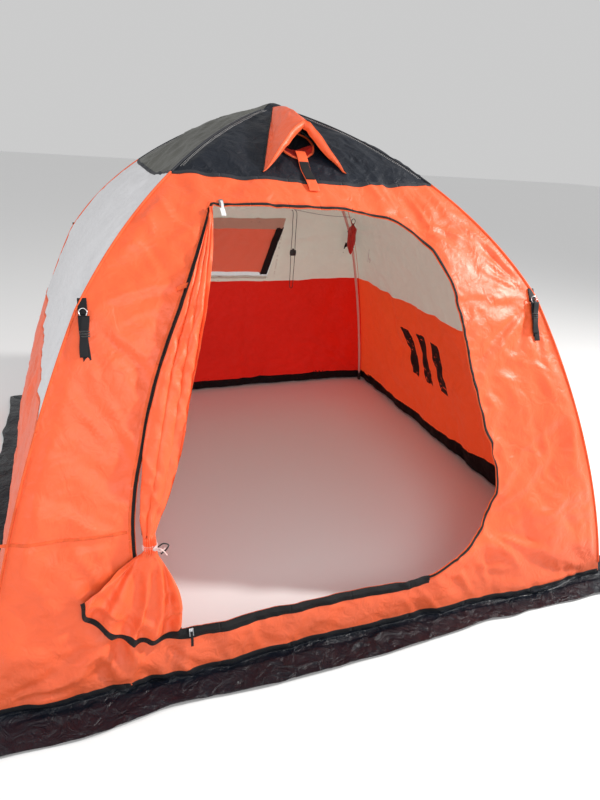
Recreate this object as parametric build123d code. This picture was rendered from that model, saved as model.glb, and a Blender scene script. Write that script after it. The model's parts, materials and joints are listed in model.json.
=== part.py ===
from build123d import *
import os
from math import atan2, cos, degrees, hypot, pi, radians, sin, sqrt, tan

# A four-rib pop-up ice fishing shelter. Millimetres, +Z up. The origin is on the ice, under the
# middle of the hub. The door is in the front wall, on the -Y side, and +X is to the right of it.

# ---- Driving dimensions: the outside of the tensioned cloth ----
BASE_HALF = 1000.0          # half the square base, from the middle to a wall's foot
APEX_Z = 1488.0             # top of the roof
KNEE_R = 990.0              # distance of a rib's knee from the centre line, along the diagonal
KNEE_Z = 965.0
WALL_UPPER_BULGE = 83.3     # how far the wall's line stands outside its chord, above the knee
WALL_LOWER_BULGE = 36.1
ROOF_SEAM_Z = 1277.0        # roof panels end and walls begin
COLOUR_SEAM_Z = 700.0       # white upper cloth meets the orange lower cloth
FRONT_HEM_Z = 25.0          # wall hem, where the ground skirt is sewn on
HEM_Z = 60.0
SKIRT_HALF = 1110.0         # half the outside of the ground skirt
CLOTH = 3.0                 # thickness given to a cloth panel
SKIRT_CLOTH = 3.0
ROOT2 = sqrt(2.0)

# ---- Frame ----
RIB_INSET = 43.0            # pole axis inside the cloth's corner edge
POLE_R = 4.75
BORE_R = 5.25               # ferrule and socket bores
HINGE_R = 36.0              # hub hinge pins from the centre line
HINGE_Z = 1442.0
POLE_UPPER_BULGE = 86.5     # how far the bent poles stand outside their chords
POLE_LOWER_BULGE = 46.0
FOOT_R = 9.0
HUB_R = 52.0
HUB_HALF = 17.0
HUB_SLOT = 18.4
HUB_SLOT_START = 18.0
LUG_R = 10.0
LUG_W = 18.0
HUB_PIN_R = 2.5
CAP_H = 9.0
KNEE_PIN_OFFSET = 20.0      # knee pin outside the pole axis, so that the leg folds back alongside
KNEE_PIN_R = 2.5
KNEE_BOSS_R = 8.0
SOCKET_R = 9.5
SOCKET_L = 58.0
SOCKET_GAP = 1.0
EAR_GAP = 10.4
EAR_T = 4.0
TONGUE_W = 10.0
RUN_CLEARANCE = 0.05
FERRULE_R = 8.0
FERRULE_L = 60.0

# ---- Door, in the front wall: X across, Z up ----
DOOR_TOP_Z = 1195.0
DOOR_SILL_Z = 153.0
DOOR_LEFT_TOP_X = -325.0
DOOR_TOP_END_X = 78.0
DOOR_SILL_END_X = 240.0
DOOR_SILL_START_X = -505.0
DOOR_MIDDLE = (-40.0, (DOOR_SILL_Z + DOOR_TOP_Z) / 2.0)
DOOR_HALF = (565.0, (DOOR_TOP_Z - DOOR_SILL_Z) / 2.0)
DOOR_RIGHT = ((262, 1160), (364, 1050), (414, 825), (456, 645), (514, 450), (500, 340), (425, 245))
DOOR_LEFT = ((-590, 260), (-607, 450), (-570, 640), (-500, 850))
ZIP_W = 12.0
SILL_TAPE_W = 30.0
ZIP_T = 1.5
ZIP_FOOT = 40.0             # the side zips end this far above the sill
SURFACE_GAP = 0.4           # between layers sewn one on another

# ---- Zip sliders ----
SLIDER = (14.0, 8.0, 22.0)
SLIDER_GAP = 1.2            # body clear of the tape
SLIDER_TAB = (7.0, 2.0, 26.0)
SLIDER_TAB_DROP = 9.0
TOP_SLIDER_X = -300.0
TOP_SLIDER_RISE = 6.0
SILL_SLIDER_X = -480.0
SILL_SLIDER_DROP = 12.0

# ---- Door cloth, gathered and tied to the left of the opening ----
TIE_Z = 408.0
TIE_X = -573.0
NECK_HALF = 18.0
NECK_L = 84.0
FLAP_T = 38.0
COLUMN_FOOT_Z = 440.0
TAIL_TOP_Z = 376.0
GATHER_HALF = 16.0          # half the flap's width where it runs into the neck
COLUMN_RIGHT = ((-330, 1188), (-362, 1049), (-419, 818), (-470, 628))
COLUMN_LEFT = ((-586, 560), (-516, 810), (-424, 1010), (-338, 1188))
TAIL_RIGHT = ((-535, 310), (-513, 153))
TAIL_HEM = ((-513, 153), (-588, 138), (-700, 200), (-759, 288))
TAIL_LEFT = ((-759, 288), (-674, 336))
TIE_CORD_R = 2.4
BEAD = (6.0, 24.0)          # radius and height of the tie's toggle
BEAD_OUT = 14.0

# ---- Window, in the back wall ----
WINDOW_HALF_X = 290.0
WINDOW_Z = (722.0, 1010.0)
FILM_T = 1.2
FILM_LAP = 14.0

# ---- Roof vent ----
VENT_X = -20.0
VENT_Y = -300.0
VENT_R = 55.0
HOOD_T = 3.0
HOOD_BACK = (-27, -90, 1478)
HOOD_RIDGE = (-12, -345, 1432)
HOOD_LEFT = (-152, -418, 1292)
HOOD_RIGHT = (118, -405, 1300)
HOOD_CLEAR = 2.0            # hood's cloth above the roof's
STRAP_W = 34.0
STRAP_L = 118.0
STRAP_T = 3.0
STRAP_TOP_Z = 1325.0
STRAP_OUT = 9.0
STRAP_UP = 11.0
STRAP_LIES = (1315.0, 1240.0)   # heights on the roof that give the strap its slope

# ---- Small fittings ----
CORD_R = 1.5
WINDOW_CORD_X = 322.0
CORD_TOP_Z = 1080.0
CORD_OUT = 24.0             # the cord hangs this far in from the wall
CORD_HALF = 9.0             # half the gap between its two falls
LOCK = (32.0, 14.0, 26.0)
LOCK_Z = 880.0
LOCK_GROOVE = (7.0, 8.0, 40.0)
LOCK_ROUND = 5.0
GUY_SIZE = (22.0, 16.0, 118.0)
GUY_X = 684.0
GUY_GAP = 5.0
GUY_ROUND = 6.0
BAG_SIZE = (30.0, 46.0, 160.0)
BAG_HOOK = (610.0, 530.0, 1057.0)
BAG_DROP = 25.0
BAG_ROUND = 10.0
BAG_LOOP = (11.0, 1.6)
BAG_LOOP_DROP = 12.0

CORNERS = {"fr": -45.0, "br": 45.0, "bl": 135.0, "fl": 225.0}
SIDES = {"front": 0.0, "right": 90.0, "back": 180.0, "left": 270.0}

nodes = {}


def bulged_arc(start, end, bulge):
    """Centre, radius, start angle and end angle of the arc that stands `bulge` outside a chord."""
    chord = hypot(end[0] - start[0], end[1] - start[1])
    radius = (chord ** 2 / 4.0 + bulge ** 2) / (2.0 * bulge)
    across = ((end[0] - start[0]) / chord, (end[1] - start[1]) / chord)
    inward = (across[1], -across[0])
    middle = ((start[0] + end[0]) / 2.0, (start[1] + end[1]) / 2.0)
    centre = (middle[0] + inward[0] * (radius - bulge), middle[1] + inward[1] * (radius - bulge))
    first = atan2(start[1] - centre[1], start[0] - centre[0])
    last = atan2(end[1] - centre[1], end[0] - centre[0])
    return centre, radius, first, last


def arc_point(arc, share):
    centre, radius, first, last = arc
    angle = first + (last - first) * share
    return centre[0] + radius * cos(angle), centre[1] + radius * sin(angle)


def arc_direction(arc, share):
    """Unit vector along the arc, from its start to its end."""
    angle = arc[2] + (arc[3] - arc[2]) * share
    return sin(angle), -cos(angle)


KNEE = (KNEE_R / ROOT2, KNEE_Z)
WALL_ARCS = (
    bulged_arc((0.0, APEX_Z), KNEE, WALL_UPPER_BULGE),
    bulged_arc(KNEE, (BASE_HALF, 0.0), WALL_LOWER_BULGE),
)


def wall_distance(z):
    """Distance of the walls and roof from the centre line at height z."""
    centre, radius, first, last = WALL_ARCS[0] if z > KNEE_Z else WALL_ARCS[1]
    return centre[0] + sqrt(radius ** 2 - (z - centre[1]) ** 2)


# ---- Cloth ----

def cloth_profile():
    """The tent's outline seen square on to a wall, run on a little below the ground."""
    below = 30.0
    upper, lower = WALL_ARCS
    foot = (BASE_HALF, 0.0)
    right = [
        ThreePointArc((0.0, APEX_Z), arc_point(upper, 0.5), KNEE),
        ThreePointArc(KNEE, arc_point(lower, 0.5), foot),
        Line(foot, (BASE_HALF, -below)),
    ]
    left = [edge.mirror(Plane.YZ) for edge in right]
    return make_face(Wire(right + [Line((BASE_HALF, -below), (-BASE_HALF, -below))] + left))


PROFILE = cloth_profile()


def tent_block(grow):
    """The whole tent as a solid, its cloth surface moved outward by grow."""
    face = offset(PROFILE, amount=grow, kind=Kind.INTERSECTION) if grow else PROFILE
    reach = 2.0 * BASE_HALF
    seen_from_front = extrude(Plane.XZ * face, amount=reach / 2.0 + 200.0, both=True)
    return seen_from_front & seen_from_front.rotate(Axis.Z, 90.0)


def layer(outer, inner):
    """The space between two offsets of the cloth's surface, above the ground."""
    ground = Pos(0, 0, 1000.0) * Box(3000.0, 3000.0, 2000.0)
    return (tent_block(outer) - tent_block(inner)) & ground


def side_wedge(low, high):
    """The front quarter of the tent, between its diagonals and two heights."""
    reach = 1500.0
    quarter = make_face(Polyline((0, 0), (reach, -reach), (-reach, -reach), close=True))
    return Pos(0, 0, low) * extrude(quarter, amount=high - low)


def on_side(shape, side):
    return shape.rotate(Axis.Z, SIDES[side])


def front_cut(outline, depth=1400.0):
    """An outline drawn on X and Z, run straight back through the front wall."""
    return extrude(Plane.XZ * outline, amount=depth)


def door_outline(grow=0.0):
    """The door opening: straight head and sill, a bowed right side, a slanted left side."""

    def grown(x, z):
        wider = DOOR_MIDDLE[0] + (x - DOOR_MIDDLE[0]) * (1.0 + grow / DOOR_HALF[0])
        return wider, DOOR_MIDDLE[1] + (z - DOOR_MIDDLE[1]) * (1.0 + grow / DOOR_HALF[1])

    head_start = grown(DOOR_LEFT_TOP_X, DOOR_TOP_Z)
    head_end = grown(DOOR_TOP_END_X, DOOR_TOP_Z)
    sill_start = grown(DOOR_SILL_START_X, DOOR_SILL_Z)
    sill_end = grown(DOOR_SILL_END_X, DOOR_SILL_Z)
    right_side = [grown(*point) for point in DOOR_RIGHT]
    left_side = [grown(*point) for point in DOOR_LEFT]
    right = Spline(head_end, *right_side, sill_end, tangents=((1, 0), (-1, -0.15)))
    left = Spline(sill_start, *left_side, head_start, tangents=((-1, 0), (0.42, 1)))
    return make_face(Wire([Line(head_start, head_end), right, Line(sill_end, sill_start), left]))


def make_walls(shell):
    front = shell & side_wedge(FRONT_HEM_Z, ROOF_SEAM_Z)
    nodes["wall_front"] = front - front_cut(door_outline())
    upper = shell & side_wedge(COLOUR_SEAM_Z, ROOF_SEAM_Z)
    lower = shell & side_wedge(HEM_Z, COLOUR_SEAM_Z)
    opening = Rectangle(2 * WINDOW_HALF_X, WINDOW_Z[1] - WINDOW_Z[0])
    window_hole = front_cut(Pos(0, sum(WINDOW_Z) / 2.0) * opening)
    for side in ("left", "right", "back"):
        cloth = upper - window_hole if side == "back" else upper
        nodes["wall_%s_upper" % side] = on_side(cloth, side)
        nodes["wall_%s_lower" % side] = on_side(lower, side)


def make_roof(shell):
    panel = shell & side_wedge(ROOF_SEAM_Z, APEX_Z + 50.0)
    hole = Pos(VENT_X, VENT_Y, APEX_Z) * Cylinder(VENT_R, 600.0)
    for side in SIDES:
        nodes["roof_%s" % side] = on_side(panel - hole if side == "front" else panel, side)


def make_skirt(shell):
    """A band below the hems and a flange that lies on the ice, one ring all round."""
    flange_height = SKIRT_CLOTH
    square = Box(2 * SKIRT_HALF, 2 * SKIRT_HALF, flange_height) - Box(
        2 * BASE_HALF - 2 * CLOTH, 2 * BASE_HALF - 2 * CLOTH, 2 * flange_height)
    ring = Pos(0, 0, flange_height / 2.0) * square
    for side in SIDES:
        hem = FRONT_HEM_Z if side == "front" else HEM_Z
        ring = ring + on_side(shell & side_wedge(0.0, hem), side)
    nodes["ground_skirt"] = ring


def make_door_zips():
    tape = layer(SURFACE_GAP + ZIP_T, SURFACE_GAP) & side_wedge(0.0, ROOF_SEAM_Z)
    tape_above = tape & side_wedge(DOOR_SILL_Z + ZIP_FOOT, ROOF_SEAM_Z)
    nodes["door_zip"] = (tape_above & front_cut(door_outline(ZIP_W))) - front_cut(door_outline())
    width = DOOR_SILL_END_X - DOOR_SILL_START_X
    strip = Pos((DOOR_SILL_END_X + DOOR_SILL_START_X) / 2.0, DOOR_SILL_Z - SILL_TAPE_W / 2.0)
    nodes["sill_zip"] = tape & front_cut(strip * Rectangle(width, SILL_TAPE_W))


def zip_slider(x, z):
    """A slider body with its pull tab hanging below it, lying on the front wall."""
    wide, deep, tall = SLIDER
    near = 30.0
    slope = degrees(atan2(wall_distance(z - near) - wall_distance(z + near), 2.0 * near))
    body = Pos(0, -deep / 2.0 - SLIDER_GAP, 0) * Box(wide, deep, tall)
    tab = Pos(0, -deep - SLIDER_TAB[1], -tall / 2.0 - SLIDER_TAB_DROP) * Box(*SLIDER_TAB)
    y = -wall_distance(z) - SURFACE_GAP - ZIP_T
    return Pos(x, y, z) * Rot(-slope, 0, 0) * (body + tab)


def make_flap():
    """The door's cloth: a gathered column, a neck at the tie and a flared tail."""
    cloth = layer(FLAP_T, SURFACE_GAP + ZIP_T + SURFACE_GAP)
    right_x = TIE_X + GATHER_HALF
    left_x = TIE_X - GATHER_HALF
    foot = COLUMN_FOOT_Z
    column = make_face(Wire([
        Spline(*COLUMN_RIGHT, (right_x, foot)),
        Line((right_x, foot), (left_x, foot)),
        Spline((left_x, foot), *COLUMN_LEFT),
        Line(COLUMN_LEFT[-1], COLUMN_RIGHT[0]),
    ]))
    tail = make_face(Wire([
        Spline((right_x, TAIL_TOP_Z), *TAIL_RIGHT),
        Spline(*TAIL_HEM),
        Spline(*TAIL_LEFT, (left_x, TAIL_TOP_Z)),
        Line((left_x, TAIL_TOP_Z), (right_x, TAIL_TOP_Z)),
    ]))
    neck_y = -(wall_distance(TIE_Z) + FLAP_T / 2.0)
    neck = Pos(TIE_X, neck_y, TIE_Z) * Cylinder(NECK_HALF, NECK_L)
    body = (cloth & front_cut(column)) + (cloth & front_cut(tail))
    nodes["door_flap"] = body + neck
    ring = Pos(TIE_X, neck_y, TIE_Z) * Torus(NECK_HALF + 4.0, TIE_CORD_R)
    bead = Pos(TIE_X, neck_y - NECK_HALF - BEAD_OUT, TIE_Z) * Cylinder(*BEAD)
    nodes["flap_tie"] = ring + bead


def make_window():
    film = layer(-CLOTH - SURFACE_GAP, -CLOTH - SURFACE_GAP - FILM_T)
    wide = 2 * (WINDOW_HALF_X + FILM_LAP)
    tall = WINDOW_Z[1] - WINDOW_Z[0] + 2 * FILM_LAP
    cut = front_cut(Pos(0, sum(WINDOW_Z) / 2.0) * Rectangle(wide, tall))
    nodes["window_film"] = on_side(film & cut & side_wedge(0.0, ROOF_SEAM_Z), "back")


def make_vent():
    """An awning of two cloth triangles over the vent hole, and its hook-and-loop strap."""
    hood = None
    for corners in ((HOOD_BACK, HOOD_LEFT, HOOD_RIDGE), (HOOD_BACK, HOOD_RIDGE, HOOD_RIGHT)):
        outline = Polyline(*[Vector(*corner) for corner in corners], close=True)
        sheet = extrude(make_face(outline), amount=HOOD_T)
        hood = sheet if hood is None else hood + sheet
    nodes["vent_hood"] = hood - tent_block(HOOD_CLEAR)
    high, low = STRAP_LIES
    slope = degrees(atan2(high - low, wall_distance(low) - wall_distance(high)))
    strap = Pos(0, -STRAP_L / 2.0, 0) * Box(STRAP_W, STRAP_L, STRAP_T)
    nodes["vent_strap"] = Pos(*strap_hinge()) * Rot(slope, 0, 0) * strap


def strap_hinge():
    return VENT_X, -wall_distance(STRAP_TOP_Z) - STRAP_OUT, STRAP_TOP_Z + STRAP_UP


# ---- Frame ----

def to_corner(shape, corner):
    return shape.rotate(Axis.Z, CORNERS[corner])


HUB_HINGE = (HINGE_R, HINGE_Z)
POLE_KNEE = (KNEE_R - RIB_INSET * cos(radians(38.0)), KNEE_Z - RIB_INSET * sin(radians(38.0)))
POLE_FOOT = (BASE_HALF * ROOT2 - RIB_INSET, FOOT_R)
POLE_ARCS = (
    bulged_arc(HUB_HINGE, POLE_KNEE, POLE_UPPER_BULGE),
    bulged_arc(POLE_KNEE, POLE_FOOT, POLE_LOWER_BULGE),
)


def in_rib_plane(point):
    return Vector(point[0], 0.0, point[1])


def along_arc(arc, start, end, radius, bore=0.0):
    """A rod or tube that follows a rib's arc, from start to end in millimetres along it."""
    length = arc_length(arc)
    first, last = start / length, end / length
    ends = [in_rib_plane(arc_point(arc, share)) for share in (first, (first + last) / 2.0, last)]
    section = Circle(radius) - Circle(bore) if bore else Circle(radius)
    plane = Plane(origin=ends[0], z_dir=in_rib_plane(arc_direction(arc, first)))
    return sweep(plane * section, path=ThreePointArc(*ends))


def arc_length(arc):
    return arc[1] * abs(arc[3] - arc[2])


def pin_at(point, radius, length):
    """A cylinder across the rib's plane."""
    return Pos(point[0], 0, point[1]) * Rot(90, 0, 0) * Cylinder(radius, length)


def outward(direction):
    return -direction[1], direction[0]


def knee_pin_point():
    before = arc_direction(POLE_ARCS[0], 1.0)
    after = arc_direction(POLE_ARCS[1], 0.0)
    mean = (before[0] + after[0], before[1] + after[1])
    size = hypot(*mean)
    normal = outward((mean[0] / size, mean[1] / size))
    return POLE_KNEE[0] + KNEE_PIN_OFFSET * normal[0], POLE_KNEE[1] + KNEE_PIN_OFFSET * normal[1]


KNEE_PIN = knee_pin_point()


def web(direction, normal, width):
    """A plate in the rib's plane that joins the knee pin's boss to the socket along direction."""
    near, far, tube_top = 5.0, 30.0, SOCKET_R - 3.0

    def place(along, out):
        return Vector(POLE_KNEE[0] + direction[0] * along + normal[0] * out, 0,
                      POLE_KNEE[1] + direction[1] * along + normal[1] * out)

    centre = Vector(KNEE_PIN[0], 0, KNEE_PIN[1])
    over = Vector(normal[0], 0, normal[1]) * (0.7 * KNEE_BOSS_R)
    past = Vector(direction[0], 0, direction[1]) * (0.6 * KNEE_BOSS_R)
    corners = [place(near, tube_top), place(far, tube_top), centre + over, centre - past]
    sketch = Polyline(*corners, close=True)
    return extrude(make_face(sketch), amount=width / 2.0, both=True)


def knee_parts():
    """The two halves of a knee: a forked upper socket, and a lower socket with a tongue."""
    upper_arc, lower_arc = POLE_ARCS
    before = arc_direction(upper_arc, 1.0)
    after = arc_direction(lower_arc, 0.0)
    back = (-before[0], -before[1])
    fork_w = EAR_GAP + 2 * EAR_T
    upper_l = arc_length(upper_arc)
    upper_end = upper_l - SOCKET_GAP
    upper_tube = along_arc(upper_arc, upper_end - SOCKET_L, upper_end, SOCKET_R, BORE_R)
    lower_tube = along_arc(lower_arc, SOCKET_GAP, SOCKET_GAP + SOCKET_L, SOCKET_R, BORE_R)
    ears = pin_at(KNEE_PIN, KNEE_BOSS_R, fork_w) + web(back, outward(before), fork_w)
    ears = ears - pin_at(KNEE_PIN, 60.0, EAR_GAP)
    ears = ears - along_arc(upper_arc, upper_l - 80.0, upper_l, SOCKET_R - 1.5)
    tongue = pin_at(KNEE_PIN, KNEE_BOSS_R, TONGUE_W) + web(after, outward(after), TONGUE_W)
    tongue = tongue - along_arc(lower_arc, 0.0, 80.0, SOCKET_R - 1.5)
    relief = pin_at(KNEE_PIN, KNEE_BOSS_R + 0.8, 60.0)
    upper = (upper_tube - relief) + ears - pin_at(KNEE_PIN, KNEE_PIN_R, 60.0)
    lower = (lower_tube - relief) + tongue - pin_at(KNEE_PIN, KNEE_PIN_R + RUN_CLEARANCE, 60.0)
    pin = pin_at(KNEE_PIN, KNEE_PIN_R, fork_w)
    return upper, lower, pin


def make_ribs():
    upper_arc, lower_arc = POLE_ARCS
    lug = pin_at(HUB_HINGE, LUG_R, LUG_W)
    solid_to = LUG_R + 8.0
    ferrule = along_arc(upper_arc, solid_to - 2.0, solid_to + FERRULE_L, FERRULE_R, BORE_R)
    neck = along_arc(upper_arc, 0.0, solid_to, FERRULE_R)
    ferrule = lug + neck + ferrule - pin_at(HUB_HINGE, HUB_PIN_R + RUN_CLEARANCE, 60.0)
    inset = SOCKET_GAP + 4.0
    upper_pole = along_arc(upper_arc, solid_to + 1.0, arc_length(upper_arc) - inset, POLE_R)
    lower_l = arc_length(lower_arc)
    lower_pole = along_arc(lower_arc, inset, lower_l - 1.0, POLE_R)
    knee_upper, knee_lower, knee_pin = knee_parts()
    shoe = along_arc(lower_arc, lower_l - 42.0, lower_l, FOOT_R)
    shoe = shoe + Pos(POLE_FOOT[0], 0, POLE_FOOT[1]) * Sphere(FOOT_R)
    shoe = shoe - along_arc(lower_arc, lower_l - 60.0, lower_l - 0.5, BORE_R)
    pieces = {
        "hub_ferrule": ferrule, "upper_pole": upper_pole, "knee_upper": knee_upper,
        "knee_pin": knee_pin, "knee_lower": knee_lower, "lower_pole": lower_pole,
        "foot_tip": shoe,
    }
    for corner in CORNERS:
        for name, shape in pieces.items():
            nodes["%s_%s" % (name, corner)] = to_corner(shape, corner)


def make_hub():
    """The slotted hub, its cap, the four hinge pins and the screws that hold the cap."""
    body = Pos(0, 0, HINGE_Z) * Cylinder(HUB_R, 2 * HUB_HALF)
    body = fillet(body.edges().group_by(Axis.Z)[0], 5.0)
    cap = Pos(0, 0, HINGE_Z + HUB_HALF + CAP_H / 2.0) * Cylinder(HUB_R - 2.0, CAP_H)
    cap = fillet(cap.edges().group_by(Axis.Z)[-1], 5.0)
    slot_l = HUB_R
    slot = Pos(HUB_SLOT_START + slot_l / 2.0, 0, HINGE_Z) * Box(slot_l, HUB_SLOT, 4 * HUB_HALF)
    pin = pin_at(HUB_HINGE, HUB_PIN_R, HUB_SLOT + 16.0)
    pins = []
    screws = []
    for corner, angle in CORNERS.items():
        body = body - to_corner(slot, corner) - to_corner(pin, corner)
        pins.append(to_corner(pin, corner))
        shank = Pos(HUB_R - 14.0, 0, HINGE_Z + HUB_HALF + CAP_H - 9.0) * Cylinder(1.8, 18.0)
        head = Pos(HUB_R - 14.0, 0, HINGE_Z + HUB_HALF + CAP_H + 1.0) * Cylinder(3.6, 2.0)
        screws.append((shank + head).rotate(Axis.Z, angle + 45.0))
    for screw in screws:
        body = body - screw
        cap = cap - screw
    nodes["hub_body"] = body
    nodes["hub_cap"] = cap
    nodes["hub_pins"] = Compound(children=pins)
    nodes["hub_screws"] = Compound(children=screws)


# ---- Fittings ----

def make_window_cord():
    """A double cord on the back wall beside the window, with a cord lock on it."""
    wall = wall_distance(CORD_TOP_Z) - CLOTH - 5.0
    y = wall - CORD_OUT
    x = WINDOW_CORD_X
    down = [
        (0.0, wall, CORD_TOP_Z), (0.0, wall - 12, 1079), (0.5, wall - 21, 1069), (0.5, y, 1054),
        (1.0, y + 1, 1028), (-0.5, y, 980), (0.5, y + 2, 925), (1.5, y + 1, 868),
        (0.5, y, 812), (-0.5, y + 1, 765), (0.0, y, 735), (-0.5, y, 717), (-4.0, y, 705),
    ]
    route = [(x - CORD_HALF - out, deep, z) for out, deep, z in down]
    route += [(x + CORD_HALF + out, deep, z) for out, deep, z in reversed(down)]
    points = [Vector(*p) for p in route]
    radii = []
    for before, here, after in zip(points, points[1:], points[2:]):
        run = min((here - before).length, (after - here).length)
        turn = radians((here - before).get_angle(after - here))
        radii.append(0.45 * run / tan(turn / 2.0))
    path = FilletPolyline(*points, radius=radii)
    section = Plane(origin=points[0], z_dir=points[1] - points[0]) * Circle(CORD_R)
    nodes["window_cord"] = sweep(section, path=path)
    lock = Pos(x, y, LOCK_Z) * Box(*LOCK)
    lock = fillet(lock.edges().filter_by(Axis.Z), LOCK_ROUND)
    for side in (-1, 1):
        lock = lock - Pos(x + side * (CORD_HALF + 0.5), y + 1.0, LOCK_Z) * Box(*LOCK_GROOVE)
    nodes["cord_lock"] = lock


def fitting_block(size, radius):
    block = Box(*size)
    return fillet(block.edges().filter_by(Axis.Z), radius)


def make_fittings():
    """Bundled guy lines outside the knees, and a small stuff bag inside near the back right knee."""
    length = GUY_SIZE[2]
    tilt = degrees(atan2(wall_distance(KNEE_Z - length) - wall_distance(KNEE_Z), length))
    bundle = Pos(0, 0, -length / 2.0) * fitting_block(GUY_SIZE, GUY_ROUND)
    y = -wall_distance(KNEE_Z) - GUY_GAP - GUY_SIZE[1] / 2.0
    for name, x, side in (("fl", -GUY_X, "front"), ("fr", GUY_X, "front"),
                          ("br", -GUY_X, "back"), ("bl", GUY_X, "back")):
        hung = Pos(x, y, KNEE_Z - GUY_GAP) * Rot(-tilt, 0, 0) * bundle
        nodes["guy_bundle_%s" % name] = on_side(hung, side)
    bag = Pos(0, 0, -BAG_SIZE[2] / 2.0 - BAG_DROP) * fitting_block(BAG_SIZE, BAG_ROUND)
    loop = Pos(0, 0, -BAG_LOOP_DROP) * Rot(90, 0, 0) * Torus(*BAG_LOOP)
    nodes["gear_bag"] = Pos(*BAG_HOOK) * (bag + loop)


def build_all():
    shell = layer(0.0, -CLOTH)
    make_walls(shell)
    make_roof(shell)
    make_skirt(shell)
    make_door_zips()
    make_flap()
    make_window()
    make_vent()
    make_ribs()
    make_hub()
    make_window_cord()
    make_fittings()
    nodes["top_slider"] = zip_slider(TOP_SLIDER_X, DOOR_TOP_Z + TOP_SLIDER_RISE)
    nodes["sill_slider"] = zip_slider(SILL_SLIDER_X, DOOR_SILL_Z - SILL_SLIDER_DROP)


build_all()
os.makedirs("parts", exist_ok=True)
for node_name, solid in nodes.items():
    export_step(solid, "parts/%s.step" % node_name)
    print(node_name, round(solid.volume, 1))
print(len(nodes), "nodes")
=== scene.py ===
import json
import math

import bpy
import numpy as np
from mathutils import Matrix, Vector


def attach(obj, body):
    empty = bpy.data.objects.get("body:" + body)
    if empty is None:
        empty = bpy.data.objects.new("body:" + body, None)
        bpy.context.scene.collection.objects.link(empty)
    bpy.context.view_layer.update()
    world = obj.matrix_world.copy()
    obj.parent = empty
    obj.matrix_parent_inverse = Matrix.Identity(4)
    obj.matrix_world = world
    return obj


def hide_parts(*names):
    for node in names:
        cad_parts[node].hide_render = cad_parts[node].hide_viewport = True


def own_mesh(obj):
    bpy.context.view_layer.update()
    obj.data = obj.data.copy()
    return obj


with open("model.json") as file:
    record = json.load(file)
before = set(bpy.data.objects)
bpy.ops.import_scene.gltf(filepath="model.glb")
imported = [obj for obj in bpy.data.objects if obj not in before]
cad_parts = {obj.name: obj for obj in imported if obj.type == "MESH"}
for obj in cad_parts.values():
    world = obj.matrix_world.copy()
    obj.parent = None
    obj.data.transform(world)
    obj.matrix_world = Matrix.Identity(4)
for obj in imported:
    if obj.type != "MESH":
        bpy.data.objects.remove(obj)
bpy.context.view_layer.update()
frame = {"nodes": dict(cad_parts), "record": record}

# Metres, +Z up. The door is in the front wall, on the -Y side. Places on a wall are given as x across
# it, seen from outside, and z, and the other walls are the front wall turned about Z.

# ---- Sizes shared with the frame ----
BASE_HALF = 1.0
APEX_Z = 1.488
KNEE_OUT = 0.990            # from the centre line to the knee of a corner, measured on the ground
KNEE_Z = 0.965
KNEE = (KNEE_OUT / math.sqrt(2.0), KNEE_Z)
UPPER_BULGE = 0.0833
LOWER_BULGE = 0.0361
ROOF_SEAM_Z = 1.277
COLOUR_SEAM_Z = 0.700
FRONT_HEM_Z = 0.025
HEM_Z = 0.060
THICK = 0.0012              # cloth, both skins together
SEAM_SAG = 0.026            # how far the roof seam hangs down between two ribs
DOOR_SILL_Z = 0.153
TIE = (-0.573, 0.408)
VENT_X = -0.020             # middle of the vent hole, the cup in it and the rim round it
VENT_OUT = 0.300
VENT_R = 0.055
CUP_OUT = 0.302
CUP_R = 0.0575
RIM_R = 0.059
CORD_X = 0.322              # middle of the doubled cord beside the window
THREAD_PITCH = 0.0011
RIPSTOP_PITCH = 0.0055
THIN_PATCH = 0.0006
SECTORS = 8                 # pieces of each side
TURN = {"front": 0, "right": 90, "back": 180, "left": 270}
SEEDS = {"front": 11, "right": 47, "back": 83, "left": 129}

DOOR_RIGHT = ((0.078, 1.195), (0.262, 1.160), (0.364, 1.050), (0.414, 0.825), (0.456, 0.645),
              (0.514, 0.450), (0.500, 0.340), (0.425, 0.245), (0.240, 0.153))
DOOR_LEFT = ((-0.505, 0.153), (-0.590, 0.260), (-0.607, 0.450), (-0.570, 0.640), (-0.500, 0.850),
             (-0.325, 1.195))


# ---- Curves and noise ----

def bulged_arc(start, end, bulge, count=240):
    """Points along the arc that stands bulge outside the chord from start to end."""
    start = np.array(start)
    end = np.array(end)
    length = np.linalg.norm(end - start)
    radius = (length ** 2 / 4.0 + bulge ** 2) / (2.0 * bulge)
    across = (end - start) / length
    centre = (start + end) / 2.0 + np.array([across[1], -across[0]]) * (radius - bulge)
    first = math.atan2(start[1] - centre[1], start[0] - centre[0])
    last = math.atan2(end[1] - centre[1], end[0] - centre[0])
    angle = np.linspace(first, last, count)
    return centre + radius * np.column_stack([np.cos(angle), np.sin(angle)])


def cumulative(points):
    """Length along a line of points, up to each of them."""
    steps = np.linalg.norm(np.diff(points, axis=0), axis=1)
    return np.concatenate([[0.0], np.cumsum(steps)])


PROFILE = np.vstack([bulged_arc((0.0, APEX_Z), KNEE, UPPER_BULGE),
                     bulged_arc(KNEE, (BASE_HALF, 0.0), LOWER_BULGE)[1:]])[::-1]
RUN = cumulative(PROFILE)
RISE = np.gradient(PROFILE, RUN, axis=0)
NORMAL = np.column_stack([RISE[:, 1], -RISE[:, 0]])


def run_at(z):
    """Length up the wall from the ground to height z."""
    return np.interp(z, PROFILE[:, 1], RUN)


def out_at(z):
    """Distance of the wall from the centre line at height z."""
    return np.interp(z, PROFILE[:, 1], PROFILE[:, 0])


def width_at(s):
    """Distance of the wall from the centre line at a length up it."""
    return np.interp(s, RUN, PROFILE[:, 0])


def height_at(s):
    """Height of the wall at a length up it."""
    return np.interp(s, RUN, PROFILE[:, 1])


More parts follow.
